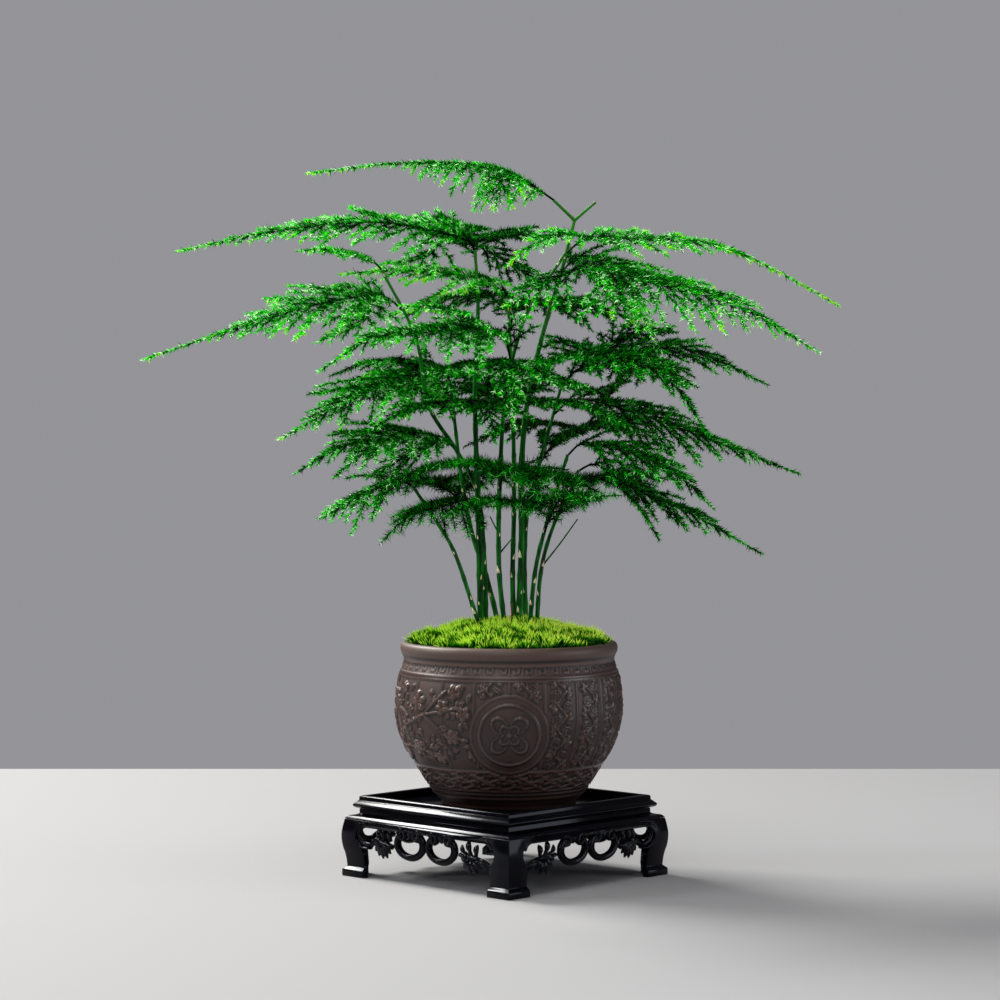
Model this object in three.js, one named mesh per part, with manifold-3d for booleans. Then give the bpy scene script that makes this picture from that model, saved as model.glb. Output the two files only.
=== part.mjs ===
// Potted lace fern, Asparagus setaceus, in a round clay pot on a carved square stand.
// Units are millimetres and +Z is up. The pot's ornament faces -Y. The origin lies on the surface
// that the stand stands on, below the middle of the whole plant's box.

import * as THREE from 'three';
import { mergeVertices } from 'three/addons/utils/BufferGeometryUtils.js';
import Module from 'manifold-3d';

const wasm = await Module();
wasm.setup();

// Clearance between neighbouring pieces
const GAP = 0.3;

// Stand: half sides are measured from its middle to a side's outer face
const STAND_YAW = THREE.MathUtils.degToRad(46.2);
const FOOT_HALF = 76.7;
const FOOT_HEIGHT = 4.5;
const FOOT_WIDTH = 19.7;
const LEG_TOP = 38;
const LEG_WALL = 4.5;
const FOOT_WALL = 8;
const LEDGE_HALF = 75.4;
const WAIST_HALF = 68.4;
const RAIL_BOTTOM = 45;
const RAIL_HALF = 71.7;
const RIM_HALF = 68.6;
const RIM_TOP = 53.3;
const RIM_INNER = 64.5;
const PANEL_TOP = 48.5;
const PANEL_THICK = 3.5;
const APRON_OUTER = 76.2;
const APRON_THICK = 4;

// Carving on one half of an apron, in x from its middle and z: a band under the ledge, a pierced
// scroll, a blossom, and a branch that forks from the blossom to the leg and up to the band
const APRON_BAND = [[-49.8, LEG_TOP], [-59.2, 33.8], [59.2, 33.8], [49.8, LEG_TOP]];
const SCROLL = { x: 14.4, z: 26.2, rx: 14.6, rz: 10.5, holeRx: 10.6, holeRz: 6.9 };
const BLOSSOM = { x: 38.5, z: 24.6, petals: 5, tip: 10, dip: 7.2 };
const BRANCH_OUTLINE = [
  [42, 20], [48, 20.4], [57, 15.8], [57.4, 19], [55.4, 22.6], [62.2, 28.4], [59, 33.8],
  [54.6, 34.6], [58, 29.6], [53, 25], [46, 26],
];

// Pot: radii of the outside wall at their heights, from the foot to the neck
const POT_CENTRE_X = 2.6;
const POT_BASE = PANEL_TOP + GAP;
const POT_SEGMENTS = 28;
const POT_WALL = [
  [44.5, POT_BASE], [45.1, 50.4], [49.5, 54.9], [55.4, 63.8], [61.4, 73.7], [67.4, 83.7],
  [72.3, 95.6], [74.8, 107.5], [75.0, 116], [73.3, 133.3], [70.3, 142.3], [69.6, 145.4],
];
const RIM_RADIUS = 72.1;
const POT_TOP = 156;
const MOUTH_RADIUS = 66.5;
const FLOOR_TOP = 57;
const DRAIN_RADIUS = 6;
const MEDALLION_Z = 100.5;
const MEDALLION_RADIUS = 25.5;

// Soil and moss
const SOIL_TOP = 147;
const STEM_FOOT = 122;
const MOSS_EDGE_TOP = 156.5;
const MOSS_CROWN = 13.5;
const MOSS_RINGS = 5;
const MOSS_SECTORS = 24;
const MOSS_TUFT = 0.8;

// Stems: radius at the soil and at the top, and the path points
const STEM_SIDES = 6;
const NODE_SPACING = 30;
const NODE_SWELL = 1.18;
const STEMS = {
  stem_far_left: {
    rootRadius: 1.7, topRadius: 1.0,
    path: [[-15, -12, 160], [-21, -14, 179], [-34, -18, 217], [-45, -22, 236], [-61, -27, 260]],
  },
  stem_left_tall: {
    rootRadius: 2.4, topRadius: 1.0,
    path: [[-16, -3, 160], [-17, -2, 210], [-18, 0, 250], [-20, 2, 318], [-18, 5, 382], [-20, 4, 415]],
  },
  stem_left_arching: {
    rootRadius: 2.0, topRadius: 0.9,
    path: [
      [-13, 7, 160], [-14, 7, 210], [-19, 5, 256], [-32, 0, 282], [-50, -8, 311], [-59, -12, 357],
      [-81, -16, 401],
    ],
  },
  stem_crossing: {
    rootRadius: 1.9, topRadius: 1.0,
    path: [[-4, 14, 160], [-12, 18, 196], [-22, 24, 226], [-29, 28, 262], [-37, 34, 329]],
  },
  stem_centre: {
    rootRadius: 1.8, topRadius: 1.0,
    path: [[0, -5, 160], [-4, -8, 204], [-3, -9, 276], [1, -8, 323], [14, -6, 372], [40, -5, 413]],
  },
  stem_inner: {
    rootRadius: 1.9, topRadius: 1.0,
    path: [[6, 9, 160], [5, 12, 197], [6, 16, 249], [5, 20, 316], [2, 24, 385]],
  },
  stem_upright: {
    rootRadius: 2.5, topRadius: 1.1,
    path: [[9, 1, 160], [11, 1, 223], [11, 2, 275], [15, 3, 316], [24, 4, 356], [36, 6, 396], [46, 6, 435]],
  },
  stem_right_bend: {
    rootRadius: 1.9, topRadius: 1.0,
    path: [[14, 8, 160], [13, 10, 213], [16, 12, 249], [24, 14, 278], [37, 18, 323]],
  },
  stem_right: {
    rootRadius: 1.8, topRadius: 1.0,
    path: [[16, -8, 160], [20, -11, 204], [26, -14, 230], [41, -20, 280]],
  },
  stem_far_right: {
    rootRadius: 1.7, topRadius: 1.0,
    path: [[21, 2, 160], [24, 5, 203], [31, 8, 229], [49, 14, 269]],
  },
};
const FORK_HEIGHT = 435;
const FORK_ARMS = [[[46, 6, FORK_HEIGHT], [32, 2, 448]], [[46, 6, FORK_HEIGHT], [60, 8, 447]]];
const ARM_TAPER = 0.8;
const SHOOT = { rootRadius: 1.0, topRadius: 0.5, path: [[4, -14, 160], [4, -15, 172], [4.5, -15.5, 182]] };

// Fronds: the stem that each grows from and the height there, the longest side spray, the tilt of
// the blade towards the front in degrees, the sprays' droop, and the rachis points beyond the stem.
// Some say at what share of the rachis their bare tail starts. A branch leaves the rachis at a share
// of its length and has its own points and longest spray.
const BLADE_THICK = 1.1;
const RIB_HALF = 0.9;
const TIP_HALF = 0.45;
const SPRAY_SPACING = 21.5;
const BRANCH_SPACING = 27;
const SHORTEST_SPRAY = 4;
const BARE_STALK = 7;
const BARE_BRANCH = 4;
const LEAD_SHARE = 0.3;
const SPRAY_WIDTH = 0.68;
const SPRAY_TUFT = 2.5;
const SPRAY_KNEE = 0.45;
const SPRAY_UNEVEN = [0.86, 1.14];
const SHORTER_SPRAYS = [1, 0.85, 0.7, 0.55, 0.4, 0.25];
const SWEEP = [40, 60];
const SWEEP_STRAY = 4;
const TAIL_SHARE = 0.94;
const TAPER_SHARE = 0.68;
const FRONDS = {
  frond_top: {
    stem: 'stem_upright', height: 435, longest: 46, tail: 0.68, tilt: 24, droop: 0.45,
    path: [[8, -8, 463], [-23, -20, 470], [-70, -40, 469], [-127, -60, 461]],
    branches: [
      { share: 0.25, longest: 24, path: [[-2, -34, 458], [-8, -46, 438]] },
    ],
  },
  frond_left_upper: {
    stem: 'stem_left_tall', height: 415, longest: 36, tilt: 28, droop: 0.12,
    path: [[-41, 0, 426], [-84, -5, 433], [-150, -10, 427], [-216, -15, 413]],
    branches: [
      { share: 0.12, longest: 26, path: [[-50, -16, 411], [-82, -30, 404]] },
      { share: 0.05, longest: 26, path: [[-44, 18, 436], [-72, 30, 438]] },
    ],
  },
  frond_left_upper_tip: {
    stem: 'stem_left_arching', height: 401, longest: 28, tilt: 14, droop: 0.15,
    path: [[-100, -30, 411], [-115, -50, 413], [-133, -66, 411]],
  },
  frond_left_long: {
    stem: 'stem_left_arching', height: 374, longest: 50, tail: 0.8, tilt: 26, droop: 0.12,
    path: [[-112, -38, 380], [-172, -60, 362], [-232, -72, 341]],
    branches: [
      { share: 0.06, longest: 24, path: [[-94, -12, 390], [-114, -10, 391]] },
      { share: 0.12, longest: 34, path: [[-92, -52, 366], [-122, -66, 352]] },
    ],
  },
  frond_left_middle: {
    stem: 'stem_inner', height: 385, longest: 40, tilt: 18, droop: 0.15,
    path: [[-30, 8, 399], [-70, 6, 402], [-110, 4, 399]],
    branches: [
      { share: 0.3, longest: 26, path: [[-50, 18, 384], [-78, 24, 372]] },
      { share: 0.15, longest: 22, path: [[-14, -14, 392], [-36, -26, 386]] },
    ],
  },
  frond_front_left: {
    stem: 'stem_centre', height: 340, longest: 56, tilt: 20, droop: 0.2,
    path: [[-43, -62, 360], [-81, -92, 356], [-118, -112, 333]],
    branches: [
      { share: 0.2, longest: 28, path: [[-36, -62, 374], [-68, -76, 376]] },
    ],
  },
  frond_left_row: {
    stem: 'stem_crossing', height: 329, longest: 54, tilt: 24, droop: 0.15,
    path: [[-64, 8, 330], [-97, -22, 318], [-146, -58, 290]],
    branches: [
      { share: 0.15, longest: 32, path: [[-70, 30, 336], [-98, 36, 330]] },
      { share: 0.12, longest: 32, path: [[-56, -8, 322], [-76, -28, 310]] },
    ],
  },
  frond_left_lower: {
    stem: 'stem_left_arching', height: 282, longest: 50, tilt: 22, droop: 0.15,
    path: [[-66, -28, 294], [-104, -48, 286], [-136, -62, 268]],
    branches: [
      { share: 0.1, longest: 30, path: [[-66, -8, 278], [-92, -16, 264]] },
      { share: 0.3, longest: 24, path: [[-90, -58, 282], [-110, -76, 266]] },
    ],
  },
  frond_left_lowest: {
    stem: 'stem_far_left', height: 260, longest: 40, tilt: 18, droop: 0.3,
    path: [[-88, -40, 256], [-121, -54, 239]],
  },
  frond_left_drooping: {
    stem: 'stem_left_tall', height: 240, longest: 40, tilt: 14, droop: 0.25,
    path: [[-42, -34, 246], [-63, -54, 240], [-80, -66, 224]],
  },
  frond_front_hanging: {
    stem: 'stem_centre', height: 310, longest: 40, tilt: 0, droop: 0.3,
    path: [[-2, -62, 342], [2, -100, 326], [6, -124, 296]],
    branches: [
      { share: 0.4, longest: 32, path: [[-26, -64, 340], [-52, -76, 332]] },
      { share: 0.35, longest: 32, path: [[26, -52, 334], [54, -62, 324]] },
    ],
  },
  frond_right_top: {
    stem: 'stem_centre', height: 413, longest: 27, tail: 0.82, tilt: 26, droop: 0.15,
    path: [[89, 14, 424], [144, 34, 420], [179, 50, 406], [229, 66, 380]],
    branches: [
      { share: 0.1, longest: 22, path: [[34, -18, 424], [14, -28, 414], [0, -34, 402]] },
    ],
  },
  frond_right_upper: {
    stem: 'stem_upright', height: 392, longest: 54, tilt: 30, droop: 0.25,
    path: [[94, -22, 393], [151, -38, 377], [203, -52, 346]],
    branches: [
      { share: 0.08, longest: 28, path: [[20, -24, 388], [-2, -40, 376]] },
      { share: 0.2, longest: 28, path: [[74, -44, 378], [98, -60, 364]] },
    ],
  },
  frond_right_back: {
    stem: 'stem_upright', height: 400, longest: 42, tilt: -8, droop: 0.15,
    path: [[80, 50, 402], [118, 78, 399], [143, 92, 392]],
  },
  frond_right_middle: {
    stem: 'stem_right_bend', height: 323, longest: 54, tilt: 24, droop: 0.15,
    path: [[76, 26, 347], [123, 30, 350], [177, 32, 326]],
    branches: [
      { share: 0.15, longest: 28, path: [[44, -12, 354], [22, -32, 350]] },
      { share: 0.3, longest: 34, path: [[96, -10, 338], [126, -30, 324]] },
      { share: 0.2, longest: 32, path: [[86, 44, 364], [118, 62, 362]] },
    ],
  },
  frond_right_front: {
    stem: 'stem_upright', height: 322, longest: 50, tilt: 16, droop: 0.15,
    path: [[62, -42, 345], [103, -66, 330], [130, -86, 292]],
  },
  frond_right_row: {
    stem: 'stem_right_bend', height: 306, longest: 52, tilt: 22, droop: 0.15,
    path: [[84, 4, 308], [140, -6, 288], [194, -14, 267]],
  },
  frond_right_lower: {
    stem: 'stem_right', height: 280, longest: 48, tilt: 16, droop: 0.15,
    path: [[74, -38, 284], [108, -54, 270], [134, -66, 246]],
  },
  frond_right_lowest: {
    stem: 'stem_far_right', height: 269, longest: 46, tail: 0.86, tilt: 20, droop: 0.15,
    path: [[84, 16, 258], [124, 6, 240], [170, -8, 214]],
  },
  frond_back_top: {
    stem: 'stem_left_tall', height: 402, longest: 44, tilt: -16, droop: 0.15,
    path: [[-24, 46, 430], [-34, 78, 438], [-44, 106, 430]],
    branches: [
      { share: 0.2, longest: 22, path: [[-32, 26, 430], [-46, 34, 444]] },
      { share: 0.2, longest: 30, path: [[4, 28, 428], [30, 38, 424]] },
      { share: 0.2, longest: 28, path: [[6, 36, 406], [30, 46, 392]] },
    ],
  },
  frond_back_upper: {
    stem: 'stem_inner', height: 362, longest: 50, tilt: -12, droop: 0.15,
    path: [[22, 62, 384], [44, 96, 382], [62, 124, 364]],
    branches: [
      { share: 0.35, longest: 36, path: [[-10, 56, 388], [-44, 62, 384], [-70, 66, 372]] },
      { share: 0.35, longest: 34, path: [[56, 62, 380], [92, 70, 370]] },
    ],
  },
  frond_back_left: {
    stem: 'stem_crossing', height: 300, longest: 50, tilt: -16, droop: 0.15,
    path: [[-62, 66, 330], [-92, 90, 326], [-120, 108, 306]],
    branches: [
      { share: 0.4, longest: 32, path: [[-54, 40, 340], [-90, 36, 342], [-118, 34, 332]] },
    ],
  },
  frond_back_middle: {
    stem: 'stem_inner', height: 300, longest: 50, tilt: 0, droop: 0.15,
    path: [[-6, 70, 326], [-14, 104, 318], [-20, 130, 296]],
    branches: [
      { share: 0.4, longest: 36, path: [[26, 68, 330], [58, 72, 324], [84, 76, 310]] },
      { share: 0.4, longest: 34, path: [[-34, 68, 336], [-64, 72, 346]] },
    ],
  },
  frond_back_right: {
    stem: 'stem_right_bend', height: 270, longest: 50, tilt: -16, droop: 0.15,
    path: [[60, 54, 300], [92, 84, 296], [118, 106, 276]],
    branches: [
      { share: 0.35, longest: 36, path: [[30, 62, 300], [0, 68, 296], [-28, 72, 284]] },
      { share: 0.4, longest: 34, path: [[84, 60, 336], [112, 66, 340]] },
    ],
  },
  frond_back_lower: {
    stem: 'stem_crossing', height: 240, longest: 46, tilt: -14, droop: 0.15,
    path: [[-50, 56, 262], [-74, 78, 258], [-96, 94, 240]],
    branches: [
      { share: 0.35, longest: 36, path: [[-20, 60, 266], [14, 64, 262], [42, 68, 250]] },
    ],
  },
  frond_front_lower: {
    stem: 'stem_right', height: 226, longest: 42, tilt: 0, droop: 0.15,
    path: [[36, -44, 252], [46, -68, 256], [50, -90, 246]],
    branches: [
      { share: 0.35, longest: 30, path: [[10, -48, 250], [-14, -56, 252], [-40, -62, 240]] },
    ],
  },
  frond_centre_front: {
    stem: 'stem_left_tall', height: 300, longest: 46, tilt: 0, droop: 0.15,
    path: [[-12, -42, 314], [-10, -74, 308], [-6, -100, 288]],
    branches: [
      { share: 0.35, longest: 36, path: [[-38, -52, 314], [-66, -62, 308], [-88, -68, 296]] },
      { share: 0.35, longest: 36, path: [[20, -54, 316], [52, -62, 312], [80, -68, 298]] },
    ],
  },
  frond_centre_low: {
    stem: 'stem_centre', height: 255, longest: 44, tilt: 0, droop: 0.15,
    path: [[8, -46, 272], [16, -76, 268], [22, -100, 252]],
    branches: [
      { share: 0.35, longest: 34, path: [[-20, -52, 276], [-52, -58, 272], [-78, -64, 260]] },
      { share: 0.4, longest: 28, path: [[38, -62, 266], [62, -72, 256]] },
    ],
  },
  frond_back_low: {
    stem: 'stem_far_right', height: 250, longest: 44, tilt: -12, droop: 0.15,
    path: [[62, 50, 264], [84, 78, 258], [104, 100, 240]],
    branches: [
      { share: 0.4, longest: 28, path: [[84, 40, 268], [110, 36, 262]] },
    ],
  },
};

// Colours, roughness and metalness of each finish
const FINISHES = {
  lacquer: { color: '#0d0d10', roughness: 0.28, metalness: 0 },
  clay: { color: '#362c29', roughness: 0.62, metalness: 0 },
  soil: { color: '#2a2019', roughness: 0.95, metalness: 0 },
  moss: { color: '#6f9a1e', roughness: 0.9, metalness: 0 },
  stem: { color: '#12591f', roughness: 0.45, metalness: 0 },
  shoot: { color: '#8a4a35', roughness: 0.5, metalness: 0 },
  frond: { color: '#1f8a2c', roughness: 0.6, metalness: 0 },
};

const plant = new THREE.Group();
const UP = new THREE.Vector3(0, 0, 1);

function vec(x, y, z) {
  return new THREE.Vector3(x, y, z);
}

// Gives the same run of numbers between 0 and 1 for the same seed
function seededRandom(seed) {
  let state = seed;
  return () => {
    state = (state * 1664525 + 1013904223) % 4294967296;
    return state / 4294967296;
  };
}

function addMesh(parent, name, geometry, finish) {
  const mesh = new THREE.Mesh(geometry, new THREE.MeshStandardMaterial(FINISHES[finish]));
  mesh.name = name;
  parent.add(mesh);
  return mesh;
}

// Keeps positions only, and turns the faces outwards
function closedGeometry(points, triangles) {
  const geometry = new THREE.BufferGeometry();
  const numbers = points.flatMap((p) => [p.x, p.y, p.z]);
  geometry.setAttribute('position', new THREE.Float32BufferAttribute(numbers, 3));
  let volume = 0;
  for (let i = 0; i < triangles.length; i += 3) {
    const [a, b, c] = [points[triangles[i]], points[triangles[i + 1]], points[triangles[i + 2]]];
    volume += a.dot(vec(0, 0, 0).crossVectors(b, c));
  }
  geometry.setIndex(volume < 0 ? triangles.slice().reverse() : triangles);
  return geometry;
}

function toSolid(geometry) {
  const bare = geometry.clone();
  bare.deleteAttribute('normal');
  bare.deleteAttribute('uv');
  const merged = mergeVertices(bare, 1e-4);
  return new wasm.Manifold(new wasm.Mesh({
    numProp: 3,
    vertProperties: new Float32Array(merged.attributes.position.array),
    triVerts: new Uint32Array(merged.index.array),
  }));
}

function toGeometry(solid) {
  const mesh = solid.getMesh();
  const geometry = new THREE.BufferGeometry();
  geometry.setAttribute('position', new THREE.BufferAttribute(mesh.vertProperties, 3));
  geometry.setIndex(new THREE.BufferAttribute(mesh.triVerts, 1));
  return geometry;
}

// Triangles of a flat outline, wound the way its points run
function fillOutline(outline) {
  const forward = THREE.ShapeUtils.area(outline) > 0;
  return THREE.ShapeUtils.triangulateShape(outline, []).flatMap(([a, b, c]) => {
    const turn = THREE.ShapeUtils.area([outline[a], outline[b], outline[c]]) > 0;
    return turn === forward ? [a, b, c] : [a, c, b];
  });
}

// Skins a row of rings. An outline fills both ends, and without one the row closes on itself.
function loft(rings, outline) {
  const count = rings[0].length;
  const steps = outline ? rings.length - 1 : rings.length;
  const triangles = [];
  for (let i = 0; i < steps; i += 1) {
    const next = (i + 1) % rings.length;
    for (let j = 0; j < count; j += 1) {
      const k = (j + 1) % count;
      triangles.push(i * count + j, i * count + k, next * count + k);
      triangles.push(i * count + j, next * count + k, next * count + j);
    }
  }
  if (outline) {
    const last = (rings.length - 1) * count;
    const cap = fillOutline(outline);
    for (let i = 0; i < cap.length; i += 3) {
      triangles.push(cap[i], cap[i + 2], cap[i + 1]);
      triangles.push(last + cap[i], last + cap[i + 1], last + cap[i + 2]);
    }
  }
  return closedGeometry(rings.flat(), triangles);
}

// Stand

// One side of a square ring, mitred at both ends. The profile holds [half side, height] pairs.
function mitredSide(profile) {
  const ends = [-1, 1].map((end) => profile.map(([half, z]) => vec(end * (half - GAP / 2), -half, z)));
  return loft(ends, profile.map(([half, z]) => new THREE.Vector2(half, z)));
}

function railProfile() {
  return [
    [RIM_INNER, RAIL_BOTTOM], [RAIL_HALF - 2.8, RAIL_BOTTOM], [RAIL_HALF - 1.2, RAIL_BOTTOM + 1.2],
    [RAIL_HALF, RAIL_BOTTOM + 2.2], [RAIL_HALF, RAIL_BOTTOM + 4.9], [RAIL_HALF - 1.2, RAIL_BOTTOM + 5.7],
    [RIM_HALF, RAIL_BOTTOM + 6], [RIM_HALF, RIM_TOP], [RIM_INNER, RIM_TOP],
  ];
}

function waistProfile() {
  const bottom = LEG_TOP + GAP;
  return [
    [RIM_INNER, bottom], [LEDGE_HALF, bottom], [LEDGE_HALF, bottom + 0.8], [WAIST_HALF + 0.6, bottom + 2.8],
    [WAIST_HALF, bottom + 3.2], [WAIST_HALF, RAIL_BOTTOM - GAP], [RIM_INNER, RAIL_BOTTOM - GAP],
  ];
}

// L-shaped section of a leg at its outer corner
function legSection(half, width, wall) {
  return [
    [half, half], [half - width, half], [half - width, half - wall],
    [half - wall, half - wall], [half - wall, half - width], [half, half - width],
  ];
}

// Height, half side and face width of the leg, from its foot up to the shoulder, and its thickness
const LEG_LEVELS = [
  [0, FOOT_HALF, FOOT_WIDTH, FOOT_WALL], [FOOT_HEIGHT, FOOT_HALF, FOOT_WIDTH, FOOT_WALL],
  [6.7, 74.2, 16.6, LEG_WALL], [12, 74.7, 17, LEG_WALL], [16, 75.4, 17.8, LEG_WALL],
  [19, 76.2, 17.6, LEG_WALL], [23, 76.8, 14.6, LEG_WALL], [28, 77, 13.4, LEG_WALL],
  [33, 76.4, 15.4, LEG_WALL], [36, 75.8, 19, LEG_WALL], [LEG_TOP, LEDGE_HALF, 25, LEG_WALL],
];

function legGeometry() {
  const rings = LEG_LEVELS.map(([z, half, width, wall]) => {
    return legSection(half, width, wall).map(([x, y]) => vec(x, y, z));
  });
  const outline = legSection(FOOT_HALF, FOOT_WIDTH, FOOT_WALL).map(([x, y]) => new THREE.Vector2(x, y));
  return loft(rings, outline);
}

// A flat shape of the apron, drawn in x and z, extruded through its thickness
function apronPlate(shape) {
  const options = { depth: APRON_THICK, bevelEnabled: false, curveSegments: 1 };
  const plate = new THREE.ExtrudeGeometry(shape, options);
  plate.rotateX(Math.PI / 2);
  plate.translate(0, -APRON_OUTER + APRON_THICK, 0);
  return toSolid(plate);
}

function ellipsePoints(cx, cz, rx, rz, count) {
  return Array.from({ length: count }, (_, i) => {
    const angle = (i / count) * 2 * Math.PI;
    return new THREE.Vector2(cx + rx * Math.cos(angle), cz + rz * Math.sin(angle));
  });
}

function apronGeometry() {
  let carving = apronPlate(new THREE.Shape(APRON_BAND.map(([x, z]) => new THREE.Vector2(x, z))));
  for (const side of [-1, 1]) {
    const { x, z, rx, rz, holeRx, holeRz } = SCROLL;
    const scroll = new THREE.Shape(ellipsePoints(side * x, z, rx, rz, 12));
    scroll.holes.push(new THREE.Path(ellipsePoints(side * x, z, holeRx, holeRz, 10)));
    const blossom = new THREE.Shape(Array.from({ length: 2 * BLOSSOM.petals }, (_, i) => {
      const angle = (i / (2 * BLOSSOM.petals)) * 2 * Math.PI + Math.PI / 2;
      const radius = i % 2 ? BLOSSOM.dip : BLOSSOM.tip;
      const [across, up] = [radius * Math.cos(angle), radius * Math.sin(angle)];
      return new THREE.Vector2(side * BLOSSOM.x + across, BLOSSOM.z + up);
    }));
    const branch = new THREE.Shape(BRANCH_OUTLINE.map(([bx, bz]) => new THREE.Vector2(side * bx, bz)));
    for (const shape of [scroll, blossom, branch]) {
      carving = carving.add(apronPlate(shape));
    }
  }
  return toGeometry(carving);
}

function addStand() {
  const stand = new THREE.Group();
  stand.rotation.z = STAND_YAW;
  const sides = ['front_right', 'back_right', 'back_left', 'front_left'];
  const corners = ['back', 'left', 'front', 'right'];
  sides.forEach((side, i) => {
    const quarter = new THREE.Group();
    quarter.rotation.z = (i * Math.PI) / 2;
    addMesh(quarter, `rail_${side}`, mitredSide(railProfile()), 'lacquer');
    addMesh(quarter, `waist_${side}`, mitredSide(waistProfile()), 'lacquer');
    addMesh(quarter, `apron_${side}`, apronGeometry(), 'lacquer');
    addMesh(quarter, `leg_${corners[i]}`, legGeometry(), 'lacquer');
    stand.add(quarter);
  });
  const width = 2 * (RIM_INNER - GAP);
  const panel = new THREE.BoxGeometry(width, width, PANEL_THICK);
  panel.translate(0, 0, PANEL_TOP - PANEL_THICK / 2);
  addMesh(stand, 'panel', panel, 'lacquer');
  plant.add(stand);
}

// Pot, soil and moss

function lathe(profile, segments) {
  const geometry = new THREE.LatheGeometry(profile.map(([r, z]) => new THREE.Vector2(r, z)), segments);
  geometry.rotateX(Math.PI / 2);
  geometry.translate(POT_CENTRE_X, 0, 0);
  return toSolid(geometry);
}

function potRadius(z) {
  const above = POT_WALL.findIndex(([, height]) => height >= z);
  const [[r0, z0], [r1, z1]] = [POT_WALL[above - 1], POT_WALL[above]];
  return THREE.MathUtils.mapLinear(z, z0, z1, r0, r1);
}

// Inside wall from the mouth down to the floor
const POT_INSIDE = [
  [MOUTH_RADIUS, POT_TOP - 1.2], [MOUTH_RADIUS - 0.7, 146], [69, 118], [66.5, 98], [56, 76], [45, 62],
  [41, FLOOR_TOP],
];

// Raised ring that follows the belly, centred on the given side
function medallionRing(turn) {
  const steps = 20;
  const section = [[-0.9, -1.6], [0.9, -1.6], [0.7, 0.8], [-0.7, 0.8]];
  const rings = Array.from({ length: steps }, (_, i) => {
    const angle = (i / steps) * 2 * Math.PI;
    return section.map(([across, proud]) => {
      const reach = MEDALLION_RADIUS + across;
      const z = MEDALLION_Z + reach * Math.sin(angle);
      const radius = potRadius(z);
      const around = turn + (reach * Math.cos(angle)) / radius;
      return vec(
        POT_CENTRE_X + (radius + proud) * Math.sin(around), -(radius + proud) * Math.cos(around), z,
      );
    });
  });
  return toSolid(loft(rings));
}

function potSolid() {
  const rim = [
    [70.6, 147.2], [RIM_RADIUS - 0.4, 149.6], [RIM_RADIUS, 152.5], [RIM_RADIUS - 1, 155],
    [RIM_RADIUS - 3, POT_TOP], [MOUTH_RADIUS + 1.4, POT_TOP],
  ];
  const start = [DRAIN_RADIUS, POT_BASE];
  const profile = [start, ...POT_WALL, ...rim, ...POT_INSIDE, [DRAIN_RADIUS, FLOOR_TOP], start];
  return [0, Math.PI].reduce((pot, turn) => pot.add(medallionRing(turn)), lathe(profile, POT_SEGMENTS));
}

function soilSolid() {
  const side = POT_INSIDE.filter(([, z]) => z < SOIL_TOP).reverse().map(([r, z]) => [r - 2 * GAP, z]);
  side[0][1] += GAP;
  const profile = [[0, side[0][1]], ...side, [side.at(-1)[0], SOIL_TOP], [0, SOIL_TOP]];
  return lathe(profile, POT_SEGMENTS);
}

// Height of the moss above its edge: one dome with soft tufts, each a few millimetres across
function mossHeight(reach, angle) {
  const dome = MOSS_CROWN * (1 - reach ** 2);
  const waves = Math.sin(5 * angle + 7 * reach) * Math.cos(9 * reach - 3 * angle);
  const tufts = waves + 0.6 * Math.sin(11 * angle);
  return MOSS_EDGE_TOP + dome + MOSS_TUFT * tufts * reach;
}

function mossSolid() {
  const edge = MOUTH_RADIUS - 2 * GAP;
  const bottom = SOIL_TOP + GAP;
  const ring = (reach, height) => Array.from({ length: MOSS_SECTORS }, (_, i) => {
    const angle = (i / MOSS_SECTORS) * 2 * Math.PI;
    const radius = edge * reach;
    return vec(POT_CENTRE_X + radius * Math.cos(angle), radius * Math.sin(angle), height(reach, angle));
  });
  const rings = [ring(0.98, () => bottom)];
  for (let i = MOSS_RINGS; i > 0; i -= 1) {
    const reach = i / MOSS_RINGS;
    rings.push(ring(reach, i === MOSS_RINGS ? () => MOSS_EDGE_TOP - 3 : mossHeight));
  }
  const outline = ring(1, () => 0).map((p) => new THREE.Vector2(p.x, p.y));
  return toSolid(loft(rings, outline));
}

// Stems

function stemPoints(path) {
  const [x, y] = path[0];
  return [vec(x, y, STEM_FOOT), vec(x, y, (STEM_FOOT + path[0][2]) / 2), ...path.map((p) => vec(...p))];
}

function stemCurve(path) {
  return new THREE.CatmullRomCurve3(stemPoints(path), false, 'centripetal');
}

// Level rings along a curve, thicker where leaf scales sit on the nodes
function stemRings(curve, rootRadius, topRadius, extra = 0) {
  const pairs = Math.max(1, Math.round(curve.getLength() / NODE_SPACING));
  const steps = 2 * pairs;
  return Array.from({ length: steps + 1 }, (_, i) => {
    const u = i / steps;
    const swell = i % 2 && u > 0.1 ? NODE_SWELL : 1;
    const radius = THREE.MathUtils.lerp(rootRadius, topRadius, u) * swell + extra;
    const centre = curve.getPointAt(u);
    return Array.from({ length: STEM_SIDES }, (_, j) => {
      const angle = (j / STEM_SIDES) * 2 * Math.PI;
      return vec(centre.x + radius * Math.cos(angle), centre.y + radius * Math.sin(angle), centre.z);
    });
  });
}

function stemSolid(curve, rootRadius, topRadius, extra = 0) {
  const rings = stemRings(curve, rootRadius, topRadius, extra);
  if (extra) {
    rings[0].forEach((p) => { p.z -= extra; });
  }
  return toSolid(loft(rings, rings[0].map((p) => new THREE.Vector2(p.x, p.y))));
}

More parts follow.
